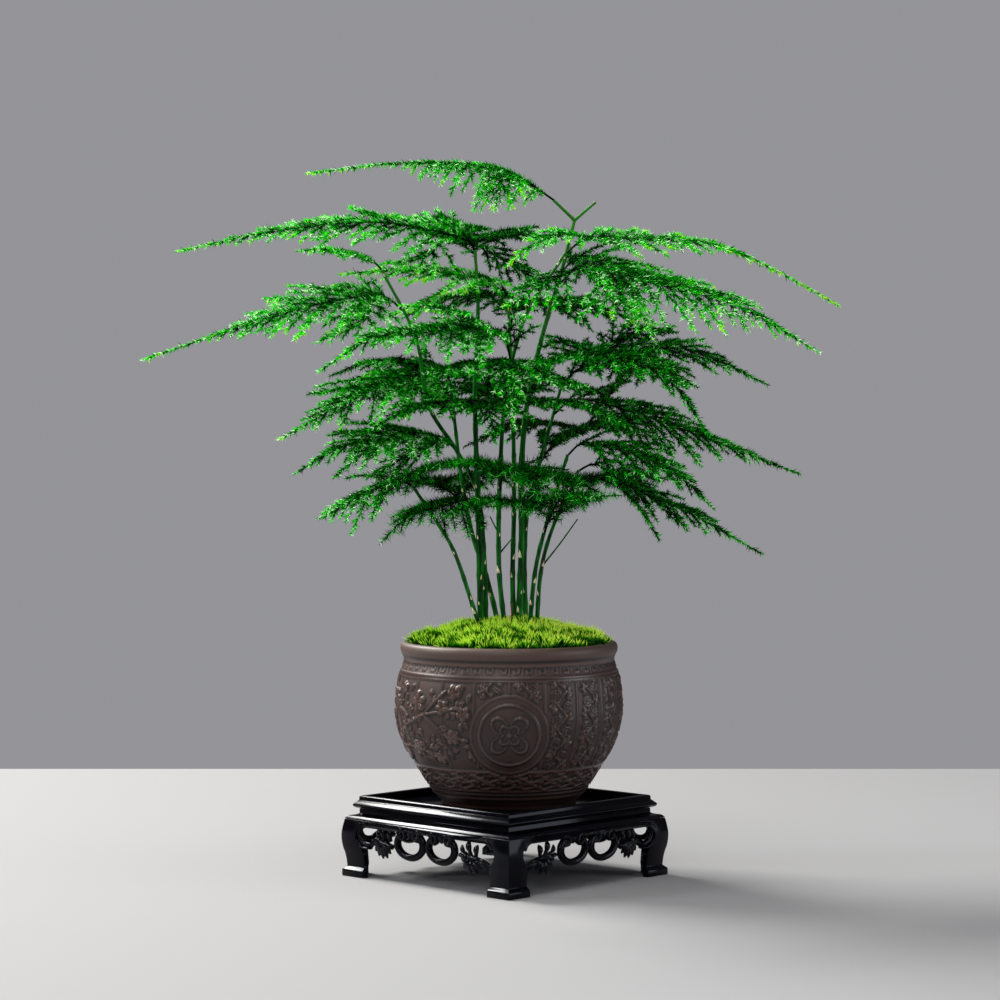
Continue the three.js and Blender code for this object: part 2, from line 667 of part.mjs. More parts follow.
function addPotAndStems() {
  let soil = soilSolid();
  let moss = mossSolid();
  for (const [name, { path, rootRadius, topRadius }] of Object.entries({ ...STEMS, shoot: SHOOT })) {
    const curve = stemCurve(path);
    const hole = stemSolid(curve, rootRadius, topRadius, GAP);
    soil = soil.subtract(hole);
    moss = moss.subtract(hole);
    let stem = stemSolid(curve, rootRadius, topRadius);
    if (name === 'stem_upright') {
      for (const arm of FORK_ARMS) {
        const armCurve = new THREE.LineCurve3(vec(...arm[0]), vec(...arm[1]));
        stem = stem.add(stemSolid(armCurve, topRadius, topRadius * ARM_TAPER));
      }
    }
    addMesh(plant, name, toGeometry(stem), name === 'shoot' ? 'shoot' : 'stem');
  }
  addMesh(plant, 'pot', toGeometry(potSolid()), 'clay');
  addMesh(plant, 'soil', toGeometry(soil), 'soil');
  addMesh(plant, 'moss', toGeometry(moss), 'moss');
}

// Fronds

// Place on a stem at a height, with the stem's direction and radius there
function stemAt(stemName, height) {
  if (stemName === 'stem_upright' && height >= FORK_HEIGHT) {
    return { point: vec(...FORK_ARMS[0][1]), radius: 0, end: true };
  }
  const { path, rootRadius, topRadius } = STEMS[stemName];
  const curve = stemCurve(path);
  let [low, high] = [0, 1];
  for (let i = 0; i < 30; i += 1) {
    const middle = (low + high) / 2;
    if (curve.getPointAt(middle).z < height) {
      low = middle;
    } else {
      high = middle;
    }
  }
  const radius = THREE.MathUtils.lerp(rootRadius, topRadius, high);
  return { point: curve.getPointAt(high), tangent: curve.getTangentAt(high), radius, end: high > 0.995 };
}

function smoothCurve(points) {
  return new THREE.CatmullRomCurve3(points, false, 'centripetal');
}

// The rachis starts just clear of its stem, rises a little with it, then runs through its own points
function rachisCurve({ stem, height, path }) {
  const seat = stemAt(stem, height);
  const points = path.map((p) => vec(...p));
  const outward = points[0].clone().sub(seat.point).normalize();
  const start = seat.point.clone();
  if (seat.end) {
    start.addScaledVector(outward, 2 * GAP);
    start.z += BLADE_THICK + 2 * GAP;
  } else {
    const across = outward.clone().addScaledVector(seat.tangent, -outward.dot(seat.tangent)).normalize();
    start.addScaledVector(across, seat.radius + 2 * GAP);
  }
  if (!seat.tangent) {
    return smoothCurve([start, ...points]);
  }
  const lead = outward.clone().add(seat.tangent).normalize();
  const bend = start.clone().addScaledVector(lead, LEAD_SHARE * start.distanceTo(points[0]));
  return smoothCurve([start, bend, ...points]);
}

// Length of a side spray at a share of the rachis: longest near the base, and only a tuft from the
// share where the bare tail starts
function sprayReach(share, longest, tail) {
  const rise = THREE.MathUtils.clamp((share + 0.02) / 0.12, 0, 1);
  const fall = THREE.MathUtils.clamp((tail - share) / (tail * TAPER_SHARE), 0, 1);
  return longest * rise * fall ** 1.25 + SPRAY_TUFT;
}

// Gap between two straight pieces, each from a to b
function segmentDistance(p, q) {
  const d1 = q.b.clone().sub(q.a);
  const d2 = p.b.clone().sub(p.a);
  const r = q.a.clone().sub(p.a);
  const a = d1.lengthSq();
  const e = d2.lengthSq();
  const f = d2.dot(r);
  const c = d1.dot(r);
  const b = d1.dot(d2);
  const denominator = a * e - b * b;
  const clamp = (value) => THREE.MathUtils.clamp(value, 0, 1);
  let s = denominator > 1e-9 ? clamp((b * f - c * e) / denominator) : 0;
  const t = clamp((b * s + f) / e);
  s = clamp((b * t - c) / a);
  return q.a.clone().addScaledVector(d1, s).distanceTo(p.a.clone().addScaledVector(d2, t));
}

// Rods round everything placed so far, so that sprays can be kept clear of other pieces
const placed = [];

function placeRod(owner, a, b, r) {
  placed.push({ owner, a, b, r });
}

function isClear(owner, a, b, r) {
  return placed.every((rod) => rod.owner === owner || segmentDistance({ a, b }, rod) > rod.r + r + 2 * GAP);
}

function placeStemRods() {
  for (const [name, { path, rootRadius }] of Object.entries(STEMS)) {
    const points = stemCurve(path).getSpacedPoints(24);
    points.slice(1).forEach((p, i) => placeRod(name, points[i], p, rootRadius * 1.1));
  }
  for (const [a, b] of FORK_ARMS) {
    placeRod('stem_upright', vec(...a), vec(...b), 1.5);
  }
}

function rachisPoints(curve, steps) {
  return Array.from({ length: steps + 1 }, (_, i) => curve.getPointAt(i / steps));
}

// All rows of sprays of a frond: the rachis itself, then its branches, which start inside it
function frondRows(frond) {
  const rachis = rachisCurve(frond);
  const row = (curve, longest, bare, spacing, fewest) => {
    const steps = Math.max(fewest, Math.round(curve.getLength() / spacing));
    const { tilt, droop, tail = TAIL_SHARE } = frond;
    return { curve, longest, bare, steps, tilt, droop, tail };
  };
  const branches = (frond.branches ?? []).map(({ share, longest, path }) => {
    const root = rachis.getPointAt(share);
    root.z -= BLADE_THICK * 0.2;
    return row(smoothCurve([root, ...path.map((p) => vec(...p))]), longest, BARE_BRANCH, BRANCH_SPACING, 2);
  });
  return [row(rachis, frond.longest, BARE_STALK, SPRAY_SPACING, 5), ...branches];
}

// Side direction of the blade, level or leaning so that its front edge hangs lower
function sideways(tangent, tilt) {
  const side = vec(0, 0, 0).crossVectors(tangent, UP).normalize();
  side.z = side.y * Math.tan(THREE.MathUtils.degToRad(tilt));
  return side.normalize();
}

// One side spray: its middle line bends down as it runs out
function sprayPoint(spray, share) {
  const point = spray.root.clone().addScaledVector(spray.direction, spray.reach * share);
  point.z -= spray.droop * spray.reach * share * share;
  return point;
}

// Shortens a spray until it is clear of every other piece
function fitSpray(owner, spray, wanted, width) {
  for (const shorter of SHORTER_SPRAYS) {
    spray.reach = wanted * shorter;
    const [root, middle, tip] = [0.15, 0.5, 1].map((t) => sprayPoint(spray, t));
    if (isClear(owner, root, middle, width * 0.55) && isClear(owner, middle, tip, width * 0.4)) {
      return;
    }
  }
  spray.reach = 0;
}

// One row as a thin arched blade: a rib with pointed sprays along both edges
function rowGeometry(name, row, random) {
  const { curve, steps, longest, bare, tilt, droop, tail } = row;
  const length = curve.getLength();
  const top = [];
  const triangles = [];
  const rim = { left: [], right: [] };
  const edge = { left: -1, right: 1 };
  rachisPoints(curve, steps).forEach((point, i) => {
    const side = sideways(curve.getTangentAt(i / steps), tilt);
    const half = i === steps ? TIP_HALF : RIB_HALF;
    for (const key of ['left', 'right']) {
      rim[key].push(top.length);
      top.push(point.clone().addScaledVector(side, edge[key] * half));
    }
  });
  for (let i = 0; i < steps; i += 1) {
    const [a, b, c, d] = [rim.left[i], rim.right[i], rim.right[i + 1], rim.left[i + 1]];
    triangles.push([a, b, c], [a, c, d]);
  }
  const borders = { left: [rim.left[0]], right: [rim.right[0]] };
  for (const key of ['left', 'right']) {
    for (let i = 0; i < steps; i += 1) {
      const share = (i + 0.5) / steps;
      const tangent = curve.getTangentAt(share);
      const side = sideways(tangent, tilt).multiplyScalar(edge[key]);
      const stray = SWEEP_STRAY * (2 * random() - 1);
      const sweep = THREE.MathUtils.degToRad(THREE.MathUtils.lerp(...SWEEP, share) + stray);
      const direction = side.multiplyScalar(Math.cos(sweep)).addScaledVector(tangent, Math.sin(sweep));
      const spray = { root: curve.getPointAt(share), direction, droop, reach: 0 };
      const width = SPRAY_WIDTH * (length / steps) * Math.cos(sweep);
      if (share * length > bare) {
        const uneven = THREE.MathUtils.lerp(...SPRAY_UNEVEN, random());
        fitSpray(name, spray, sprayReach(share, longest, tail) * uneven, width);
      }
      if (spray.reach > SHORTEST_SPRAY) {
        const [inner, outer] = [rim[key][i], rim[key][i + 1]];
        const middle = sprayPoint(spray, SPRAY_KNEE);
        const tip = sprayPoint(spray, 1);
        placeRod(name, spray.root, middle, width * 0.5);
        placeRod(name, middle, tip, width * 0.35);
        const first = top.length;
        top.push(middle.clone().addScaledVector(tangent, -width / 2));
        top.push(middle.clone().addScaledVector(tangent, width / 2));
        top.push(tip);
        const faces = [[inner, outer, first + 1], [inner, first + 1, first], [first, first + 1, first + 2]];
        triangles.push(...(key === 'right' ? faces.map(([a, b, c]) => [a, c, b]) : faces));
        borders[key].push(first, first + 2, first + 1);
      }
      borders[key].push(rim[key][i + 1]);
    }
  }
  return bladeFrom(top, triangles, [...borders.right, ...borders.left.reverse()]);
}

// Gives a triangulated sheet its thickness: the underside is the same sheet, moved straight down
function bladeFrom(top, triangles, border) {
  const count = top.length;
  const under = top.map((p) => vec(p.x, p.y, p.z - BLADE_THICK));
  const faces = [];
  for (const [a, b, c] of triangles) {
    faces.push(a, b, c, count + a, count + c, count + b);
  }
  border.forEach((a, i) => {
    const b = border[(i + 1) % border.length];
    faces.push(b, a, count + a, b, count + a, count + b);
  });
  return closedGeometry([...top, ...under], faces);
}

function addFronds() {
  placeStemRods();
  const fronds = Object.entries(FRONDS).map(([name, frond]) => [name, frondRows(frond)]);
  for (const [name, rows] of fronds) {
    for (const { curve, steps } of rows) {
      const points = rachisPoints(curve, steps);
      points.slice(1).forEach((p, i) => placeRod(name, points[i], p, 1.4));
    }
  }
  fronds.forEach(([name, rows], i) => {
    const random = seededRandom(i + 1);
    const solids = rows.map((row) => toSolid(rowGeometry(name, row, random)));
    addMesh(plant, name, toGeometry(solids.reduce((all, solid) => all.add(solid))), 'frond');
  });
}

addStand();
addPotAndStems();
addFronds();

// Moves the whole plant so that the origin is at the middle of its box's underside
const box = new THREE.Box3().setFromObject(plant);
const middle = box.getCenter(vec(0, 0, 0));
plant.position.set(-middle.x, -middle.y, -box.min.z);

export default plant;
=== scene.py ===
import math
import random

import bmesh
import bpy
import numpy as np
from mathutils import Matrix, Vector


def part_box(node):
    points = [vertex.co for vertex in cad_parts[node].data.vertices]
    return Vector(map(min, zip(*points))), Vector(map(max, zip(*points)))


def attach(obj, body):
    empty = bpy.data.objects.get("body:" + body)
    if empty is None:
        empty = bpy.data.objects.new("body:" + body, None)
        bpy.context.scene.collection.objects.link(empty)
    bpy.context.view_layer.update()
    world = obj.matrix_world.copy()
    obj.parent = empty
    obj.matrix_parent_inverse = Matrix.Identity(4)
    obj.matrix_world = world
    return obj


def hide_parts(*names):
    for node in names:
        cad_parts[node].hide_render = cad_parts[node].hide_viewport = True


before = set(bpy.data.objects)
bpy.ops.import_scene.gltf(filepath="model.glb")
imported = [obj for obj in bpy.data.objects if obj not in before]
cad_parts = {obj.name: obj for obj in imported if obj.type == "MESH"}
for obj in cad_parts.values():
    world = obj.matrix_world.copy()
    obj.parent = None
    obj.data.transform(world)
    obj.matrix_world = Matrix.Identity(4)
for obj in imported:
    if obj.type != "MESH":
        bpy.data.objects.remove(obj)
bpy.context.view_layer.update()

bl_info = {
    "name": "Potted lace fern",
    "version": (1, 0, 0),
    "blender": (4, 5, 0),
    "location": "3D View > Sidebar > Lace fern",
    "description": "Dresses a potted lace fern: carved stand, clay pot, moss, stems and needle sprays",
    "category": "Object",
}

BODY = "root"
MM = 0.001
# Leaves and needles follow each other round a twig by this angle
GOLDEN_ANGLE = math.radians(137.5)

# The measured places below are in millimetres from the middle of the stand. The frame's own
# origin lies below the middle of the whole plant, so the pot's box says how far the two are apart.
POT_CENTRE_X = 2.6
POT_LOW, POT_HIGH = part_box("pot")
SHIFT = Vector((
    (POT_LOW.x + POT_HIGH.x) / 2 - POT_CENTRE_X * MM,
    (POT_LOW.y + POT_HIGH.y) / 2,
    0,
))

# Stand sizes in millimetres, half sides from its middle to a side's outer face
STAND_YAW = math.radians(46.2)
STAND_SIDES = ["front_right", "back_right", "back_left", "front_left"]
STAND_CORNERS = ["back", "left", "front", "right"]
LEG_TOP = 38.0
LEDGE_HALF = 75.4
WAIST_HALF = 68.4
RAIL_BOTTOM = 45.0
RAIL_HALF = 71.7
RIM_HALF = 68.6
RIM_TOP = 53.3
RIM_INNER = 64.5
PANEL_TOP = 48.5
APRON_OUTER = 76.2
APRON_THICK = 4.0
APRON_BAND = 33.8
SCROLL_X = 14.4
SCROLL_Z = 26.2
# Leg sections: height, half side, width of a face, thickness. The first three are its block foot.
LEG_FOOT_TOP = 6.7
LEG_LEVELS = [
    (0, 76.7, 19.7, 5.2), (4.5, 76.7, 19.7, 5.2), (LEG_FOOT_TOP, 74.2, 16.6, 3.9), (12, 74.7, 17, 3.9),
    (16, 75.4, 17.8, 3.9), (19, 76.2, 17.6, 3.9), (23, 76.8, 14.6, 3.9), (28, 77, 13.4, 3.9),
    (33, 76.4, 15.4, 3.9), (36, 75.8, 19, 3.9), (LEG_TOP, 75.4, 25, 3.9),
]
# Rounding of the rails' and of the panel's edges
RAIL_EDGE = 0.25
PANEL_EDGE = 0.3

# Pot profile in millimetres: radius and height, from the foot to the neck, then the rim
POT_WALL = [
    (44.5, 48.8), (45.1, 50.4), (49.5, 54.9), (55.4, 63.8), (61.4, 73.7), (67.4, 83.7),
    (72.3, 95.6), (74.8, 107.5), (75.0, 116.0), (73.3, 133.3), (70.3, 142.3), (69.6, 145.4),
]
POT_RIM = [(70.6, 147.2), (71.7, 149.6), (72.1, 152.5), (71.1, 155.0), (69.1, 156.0), (67.9, 156.0)]
POT_MOUTH = [
    (66.5, 154.8), (65.8, 146.0), (69.0, 118.0), (66.5, 98.0), (56.0, 76.0), (45.0, 62.0), (41.0, 57.0),
]
DRAIN_RADIUS = 6.0

# Pot ornament in millimetres: rings as (height, width), the lines of the waves, and the curls on them
RINGS = [(56.6, 1.0), (59.6, 0.9), (61.8, 0.9), (75.6, 1.1), (135.4, 1.2), (137.4, 0.9), (145.0, 1.3)]
WAVES = 26
WAVE_LINES = [64.2, 66.8, 69.4, 72.0, 74.4]
WAVE_CURLS = [(66.8, 2.8), (72.0, 2.6)]
# Key fret under the neck: its units, the radius it is laid out on, its foot, its height and its band
FRET_UNITS = 52
FRET_RADIUS = 72.0
FRET_FOOT = 139.2
FRET_HIGH = 4.2
FRET_BAND = (138.4, 144.4)
# Ruled columns of climbing vines between two heights, with two wide fields beside the medallions
COLUMNS = 20
COLUMN_ANGLE = 2 * math.pi / COLUMNS
FIELD = (77.0, 134.6)
VINE_BEND = 8.0
MEDALLION_Z = 100.5
MEDALLION_EDGE = 27.5
# Blossoming sprays: the angle of each wide field's middle, and whether its spray is mirrored
SPRAYS = [(math.radians(-54), 1), (math.radians(126), -1)]
SPRAY_Z = 106.0
SPRAY_LEAVES = 120
# A spray from the middle of its field: branches as strokes, and blossoms as (x, z, size)
SPRAY_BRANCHES = [
    (-45, -26, -30, -16), (-30, -16, -13, -2), (-13, -2, 8, 6), (8, 6, 26, 22), (-13, -2, -24, 12),
    (-24, 12, -40, 20), (8, 6, 38, 12), (-30, -16, -2, -16), (-2, -16, 18, -24), (-30, -16, -43, -4),
    (8, 6, 24, -6), (24, -6, 42, -10),
]
SPRAY_BLOSSOMS = [
    (-30, 16, 5.6), (-40, 2, 4.8), (3, 14, 6.4), (24, 12, 5.4), (33, 22, 5.4), (-3, -16, 5.6),
    (-23, -22, 5.0), (16, -22, 4.8), (-15, 22, 4.4), (40, 8, 5.4), (30, -8, 5.6), (42, -20, 4.8),
]

# Moss in millimetres
MOSS_RADIUS = 65.9
MOSS_BOTTOM = 147.3
MOSS_EDGE_TOP = 156.5
MOSS_CROWN = 12.5
# Blades grow within this share of the radius, clear of the pot's rim
MOSS_GROWN = 0.955
# Mounds of the moss: place from its middle in x and y, height and spread
MOUNDS = [
    (-55, -4, 2.6, 11), (-29, 6, 2.6, 11), (14, 8, 2.0, 16), (52, -6, 2.4, 12), (-8, -38, 1.8, 14),
    (30, -34, 2.0, 13),
]

# Stems in millimetres: path points above the soil, then the radius at the soil and at the top
STEM_FOOT = 122.0
STEMS = {
    "stem_far_left": (
        [(-15, -12, 160), (-21, -14, 179), (-34, -18, 217), (-45, -22, 236), (-61, -27, 260)], 1.7, 1.0),
    "stem_left_tall": (
        [(-16, -3, 160), (-17, -2, 210), (-18, 0, 250), (-20, 2, 318), (-18, 5, 382), (-20, 4, 415)],
        2.4, 1.0),
    "stem_left_arching": (
        [(-13, 7, 160), (-14, 7, 210), (-19, 5, 256), (-32, 0, 282), (-50, -8, 311), (-59, -12, 357),
         (-81, -16, 401)],
        2.0, 0.9),
    "stem_crossing": (
        [(-4, 14, 160), (-12, 18, 196), (-22, 24, 226), (-29, 28, 262), (-37, 34, 329)], 1.9, 1.0),
    "stem_centre": (
        [(0, -5, 160), (-4, -8, 204), (-3, -9, 276), (1, -8, 323), (14, -6, 372), (40, -5, 413)], 1.8, 1.0),
    "stem_inner": ([(6, 9, 160), (5, 12, 197), (6, 16, 249), (5, 20, 316), (2, 24, 385)], 1.9, 1.0),
    "stem_upright": (
        [(9, 1, 160), (11, 1, 223), (11, 2, 275), (15, 3, 316), (24, 4, 356), (36, 6, 396), (46, 6, 435)],
        2.5, 1.1),
    "stem_right_bend": (
        [(14, 8, 160), (13, 10, 213), (16, 12, 249), (24, 14, 278), (37, 18, 323)], 1.9, 1.0),
    "stem_right": ([(16, -8, 160), (20, -11, 204), (26, -14, 230), (41, -20, 280)], 1.8, 1.0),
    "stem_far_right": ([(21, 2, 160), (24, 5, 203), (31, 8, 229), (49, 14, 269)], 1.7, 1.0),
}
SHOOT = ([(4, -14, 160), (4, -15, 172), (4.5, -15.5, 182)], 0.9, 0.3)
# Arms of the upright stem's fork, and side twigs, with their radius at the stem and at the end
FORK_TOP = 435
FORK_ARMS = [[(46, 6, FORK_TOP), (32, 2, 448)], [(46, 6, FORK_TOP), (60, 8, 447)]]
SIDE_TWIGS = {
    "stem_upright": (FORK_ARMS, 1.1, 0.88),
    "stem_centre": (
        [[(-4, -8, 214), (0, -10, 219), (5, -12, 225)], [(-4, -8, 227), (-7, -10, 233), (-10, -12, 239)]],
        0.6, 0.4),
    "stem_far_right": ([[(25, 5, 206), (36, 2, 220), (48, -2, 237)]], 0.6, 0.4),
}

# Papery scale leaves that face the front: their height in millimetres and their size. Above
# UPPER_NODES a smaller one grows on every node, in a spiral.
UPPER_NODES = 250
SCALE_LEAVES = {
    "stem_far_left": [(176, 1.1), (184, 0.7), (215, 0.6)],
    "stem_left_tall": [(180, 0.6), (198, 0.8), (223, 0.6)],
    "stem_left_arching": [(190, 0.6), (207, 0.7), (236, 0.6)],
    "stem_crossing": [(184, 0.6), (208, 0.6)],
    "stem_centre": [(203, 1.2), (227, 0.6)],
    "stem_inner": [(197, 0.8), (209, 0.9), (240, 0.6)],
    "stem_upright": [(175, 1.0), (188, 0.6), (212, 1.2), (245, 0.6)],
    "stem_right_bend": [(188, 0.7), (230, 0.6)],
    "stem_right": [(181, 0.9), (196, 0.9), (229, 0.7)],
    "stem_far_right": [(186, 0.8), (205, 0.9), (244, 0.6)],
}

# Fronds in millimetres: the stem and the height on it, the rachis points beyond it, the longest
# side spray, the tilt towards the front in degrees, the droop of the sprays, and the tone of the
# needles at the root and at the spray tips, from 0 for deep green to 1 for yellow-green. The tones
# hold young growth, yellower at the tips, and painted light and shade: lower for fronds deep in and
# at the back of the plant, higher for lit fronds at the top and front.
FRONDS = {
    "frond_top": (
        "stem_upright", 435, [(8, -8, 463), (-23, -20, 470), (-70, -40, 469), (-127, -60, 461)],
        46, 24, 0.45, (0.38, 0.8)),
    "frond_left_upper": (
        "stem_left_tall", 415, [(-41, 0, 426), (-84, -5, 433), (-150, -10, 427), (-216, -15, 413)],
        36, 28, 0.12, (0.34, 0.78)),
    "frond_left_upper_tip": (
        "stem_left_arching", 401, [(-100, -30, 411), (-115, -50, 413), (-133, -66, 411)],
        28, 14, 0.15, (0.42, 0.72)),
    "frond_left_long": (
        "stem_left_arching", 374, [(-112, -38, 380), (-172, -60, 362), (-232, -72, 341)],
        50, 26, 0.12, (0.34, 0.78)),
    "frond_left_middle": (
        "stem_inner", 385, [(-30, 8, 399), (-70, 6, 402), (-110, 4, 399)], 40, 18, 0.15, (0.34, 0.96)),
    "frond_front_left": (
        "stem_centre", 340, [(-43, -62, 360), (-81, -92, 356), (-118, -112, 333)],
        56, 20, 0.2, (0.22, 0.7)),
    "frond_left_row": (
        "stem_crossing", 329, [(-64, 8, 330), (-97, -22, 318), (-146, -58, 290)],
        54, 24, 0.15, (0.28, 0.76)),
    "frond_left_lower": (
        "stem_left_arching", 282, [(-66, -28, 294), (-104, -48, 286), (-136, -62, 268)],
        50, 22, 0.15, (0.3, 0.55)),
    "frond_left_lowest": (
        "stem_far_left", 260, [(-88, -40, 256), (-121, -54, 239)], 40, 18, 0.3, (0.32, 0.58)),
    "frond_left_drooping": (
        "stem_left_tall", 240, [(-42, -34, 246), (-63, -54, 240), (-80, -66, 224)],
        40, 14, 0.25, (0.2, 0.36)),
    "frond_front_hanging": (
        "stem_centre", 310, [(-2, -62, 342), (2, -100, 326), (6, -124, 296)], 40, 0, 0.3, (0.18, 0.58)),
    "frond_right_top": (
        "stem_centre", 413, [(89, 14, 424), (144, 34, 420), (179, 50, 406), (229, 66, 380)],
        27, 26, 0.15, (0.4, 0.92)),
    "frond_right_upper": (
        "stem_upright", 392, [(94, -22, 393), (151, -38, 377), (203, -52, 346)], 54, 30, 0.25, (0.3, 0.84)),
    "frond_right_back": (
        "stem_upright", 400, [(80, 50, 402), (118, 78, 399), (143, 92, 392)], 42, -8, 0.15, (0.3, 0.45)),
    "frond_right_middle": (
        "stem_right_bend", 323, [(76, 26, 347), (123, 30, 350), (177, 32, 326)], 54, 24, 0.15, (0.2, 0.38)),
    "frond_right_front": (
        "stem_upright", 322, [(62, -42, 345), (103, -66, 330), (130, -86, 292)],
        50, 16, 0.15, (0.24, 0.42)),
    "frond_right_row": (
        "stem_right_bend", 306, [(84, 4, 308), (140, -6, 288), (194, -14, 267)],
        52, 22, 0.15, (0.24, 0.42)),
    "frond_right_lower": (
        "stem_right", 280, [(74, -38, 284), (108, -54, 270), (134, -66, 246)], 48, 16, 0.15, (0.24, 0.42)),
    "frond_right_lowest": (
        "stem_far_right", 269, [(84, 16, 258), (124, 6, 240), (170, -8, 214)], 46, 20, 0.15, (0.26, 0.42)),
    "frond_back_top": (
        "stem_left_tall", 402, [(-24, 46, 430), (-34, 78, 438), (-44, 106, 430)],
        44, -16, 0.15, (0.26, 0.4)),
    "frond_back_upper": (
        "stem_inner", 362, [(22, 62, 384), (44, 96, 382), (62, 124, 364)], 50, -12, 0.15, (0.22, 0.36)),
    "frond_back_left": (
        "stem_crossing", 300, [(-62, 66, 330), (-92, 90, 326), (-120, 108, 306)],
        50, -16, 0.15, (0.2, 0.34)),
    "frond_back_middle": (
        "stem_inner", 300, [(-6, 70, 326), (-14, 104, 318), (-20, 130, 296)], 50, 0, 0.15, (0.18, 0.32)),
    "frond_back_right": (
        "stem_right_bend", 270, [(60, 54, 300), (92, 84, 296), (118, 106, 276)],
        50, -16, 0.15, (0.18, 0.32)),
    "frond_back_lower": (
        "stem_crossing", 240, [(-50, 56, 262), (-74, 78, 258), (-96, 94, 240)],
        46, -14, 0.15, (0.18, 0.32)),
    "frond_front_lower": (
        "stem_right", 226, [(36, -44, 252), (46, -68, 256), (50, -90, 246)], 42, 0, 0.15, (0.22, 0.38)),
    "frond_centre_front": (
        "stem_left_tall", 300, [(-12, -42, 314), (-10, -74, 308), (-6, -100, 288)],
        46, 0, 0.15, (0.18, 0.4)),
    "frond_centre_low": (
        "stem_centre", 255, [(8, -46, 272), (16, -76, 268), (22, -100, 252)], 44, 0, 0.15, (0.2, 0.36)),
    "frond_back_low": (
        "stem_far_right", 250, [(62, 50, 264), (84, 78, 258), (104, 100, 240)],
        44, -12, 0.15, (0.18, 0.32)),
}

# The share of the rachis where the side sprays run out: most fronds end in a short bare tail, some
# in a long one
SHORT_TAIL = 0.94
LONG_TAILS = {"frond_top": 0.68, "frond_left_long": 0.8, "frond_right_top": 0.82, "frond_right_lowest": 0.86}

# Fronds deep in the plant keep long thin needles that stand well apart
WISPY = {"frond_left_drooping", "frond_front_lower", "frond_centre_low", "frond_back_low", "frond_back_lower"}

# Side branches of the fronds in millimetres: the share of the rachis where each leaves it, its
# points, and its longest side spray
BRANCHES = {
    "frond_top": [(0.25, [(-2, -34, 458), (-8, -46, 438)], 24)],
    "frond_left_upper": [
        (0.12, [(-50, -16, 411), (-82, -30, 404)], 26), (0.05, [(-44, 18, 436), (-72, 30, 438)], 26),
    ],
    "frond_left_long": [
        (0.06, [(-94, -12, 390), (-114, -10, 391)], 24), (0.12, [(-92, -52, 366), (-122, -66, 352)], 34),
    ],
    "frond_left_middle": [
        (0.3, [(-50, 18, 384), (-78, 24, 372)], 26), (0.15, [(-14, -14, 392), (-36, -26, 386)], 22),
    ],
    "frond_front_left": [(0.2, [(-36, -62, 374), (-68, -76, 376)], 28)],
    "frond_right_top": [(0.1, [(34, -18, 424), (14, -28, 414), (0, -34, 402)], 22)],
    "frond_right_upper": [
        (0.08, [(20, -24, 388), (-2, -40, 376)], 28), (0.2, [(74, -44, 378), (98, -60, 364)], 28),
    ],
    "frond_right_middle": [
        (0.15, [(44, -12, 354), (22, -32, 350)], 28), (0.3, [(96, -10, 338), (126, -30, 324)], 34),
        (0.2, [(86, 44, 364), (118, 62, 362)], 32),
    ],
    "frond_left_row": [
        (0.15, [(-70, 30, 336), (-98, 36, 330)], 32), (0.12, [(-56, -8, 322), (-76, -28, 310)], 32),
    ],
    "frond_left_lower": [
        (0.1, [(-66, -8, 278), (-92, -16, 264)], 30), (0.3, [(-90, -58, 282), (-110, -76, 266)], 24),
    ],
    "frond_front_hanging": [
        (0.4, [(-26, -64, 340), (-52, -76, 332)], 32), (0.35, [(26, -52, 334), (54, -62, 324)], 32),
    ],
    "frond_centre_front": [
        (0.35, [(-38, -52, 314), (-66, -62, 308), (-88, -68, 296)], 36),
        (0.35, [(20, -54, 316), (52, -62, 312), (80, -68, 298)], 36),
    ],
    "frond_centre_low": [
        (0.35, [(-20, -52, 276), (-52, -58, 272), (-78, -64, 260)], 34),
        (0.4, [(38, -62, 266), (62, -72, 256)], 28),
    ],
    "frond_front_lower": [(0.35, [(10, -48, 250), (-14, -56, 252), (-40, -62, 240)], 30)],
    "frond_back_top": [
        (0.2, [(-32, 26, 430), (-46, 34, 444)], 22), (0.2, [(4, 28, 428), (30, 38, 424)], 30),
        (0.2, [(6, 36, 406), (30, 46, 392)], 28),
    ],
    "frond_back_upper": [
        (0.35, [(-10, 56, 388), (-44, 62, 384), (-70, 66, 372)], 36),
        (0.35, [(56, 62, 380), (92, 70, 370)], 34),
    ],
    "frond_back_middle": [
        (0.4, [(26, 68, 330), (58, 72, 324), (84, 76, 310)], 36),
        (0.4, [(-34, 68, 336), (-64, 72, 346)], 34),
    ],
    "frond_back_left": [(0.4, [(-54, 40, 340), (-90, 36, 342), (-118, 34, 332)], 32)],
    "frond_back_right": [
        (0.35, [(30, 62, 300), (0, 68, 296), (-28, 72, 284)], 36),
        (0.4, [(84, 60, 336), (112, 66, 340)], 34),
    ],
    "frond_back_lower": [(0.35, [(-20, 60, 266), (14, 64, 262), (42, 68, 250)], 36)],
    "frond_back_low": [(0.4, [(84, 40, 268), (110, 36, 262)], 28)],
}


def srgb(code):
    """Turns a colour such as '#1f8a2c' to Blender's linear values."""
    parts = [int(code[i:i + 2], 16) / 255 for i in (1, 3, 5)]
    return tuple(c / 12.92 if c <= 0.04045 else ((c + 0.055) / 1.055) ** 2.4 for c in parts) + (1.0,)


def node(tree, kind, inputs=None, stops=(), **settings):
    """Adds a node with its settings, a colour ramp's (place, colour code) stops, and its inputs by name.
    An input is a value, a socket, a node whose first output in use is taken, or a list of those to join."""
    item = tree.nodes.new(kind)
    for key, value in settings.items():
        setattr(item, key, value)
    for key, value in (inputs or {}).items():
        for source in value if isinstance(value, list) else [value]:
            if isinstance(source, bpy.types.Node):
                source = next(socket for socket in source.outputs if not socket.is_unavailable)
            if isinstance(source, bpy.types.NodeSocket):
                tree.links.new(source, item.inputs[key])
            else:
                item.inputs[key].default_value = source
    while stops and len(item.color_ramp.elements) < len(stops):
        item.color_ramp.elements.new(0.5)
    for element, (place, code) in zip(item.color_ramp.elements if stops else [], stops):
        element.position = place
        element.color = srgb(code)
    return item


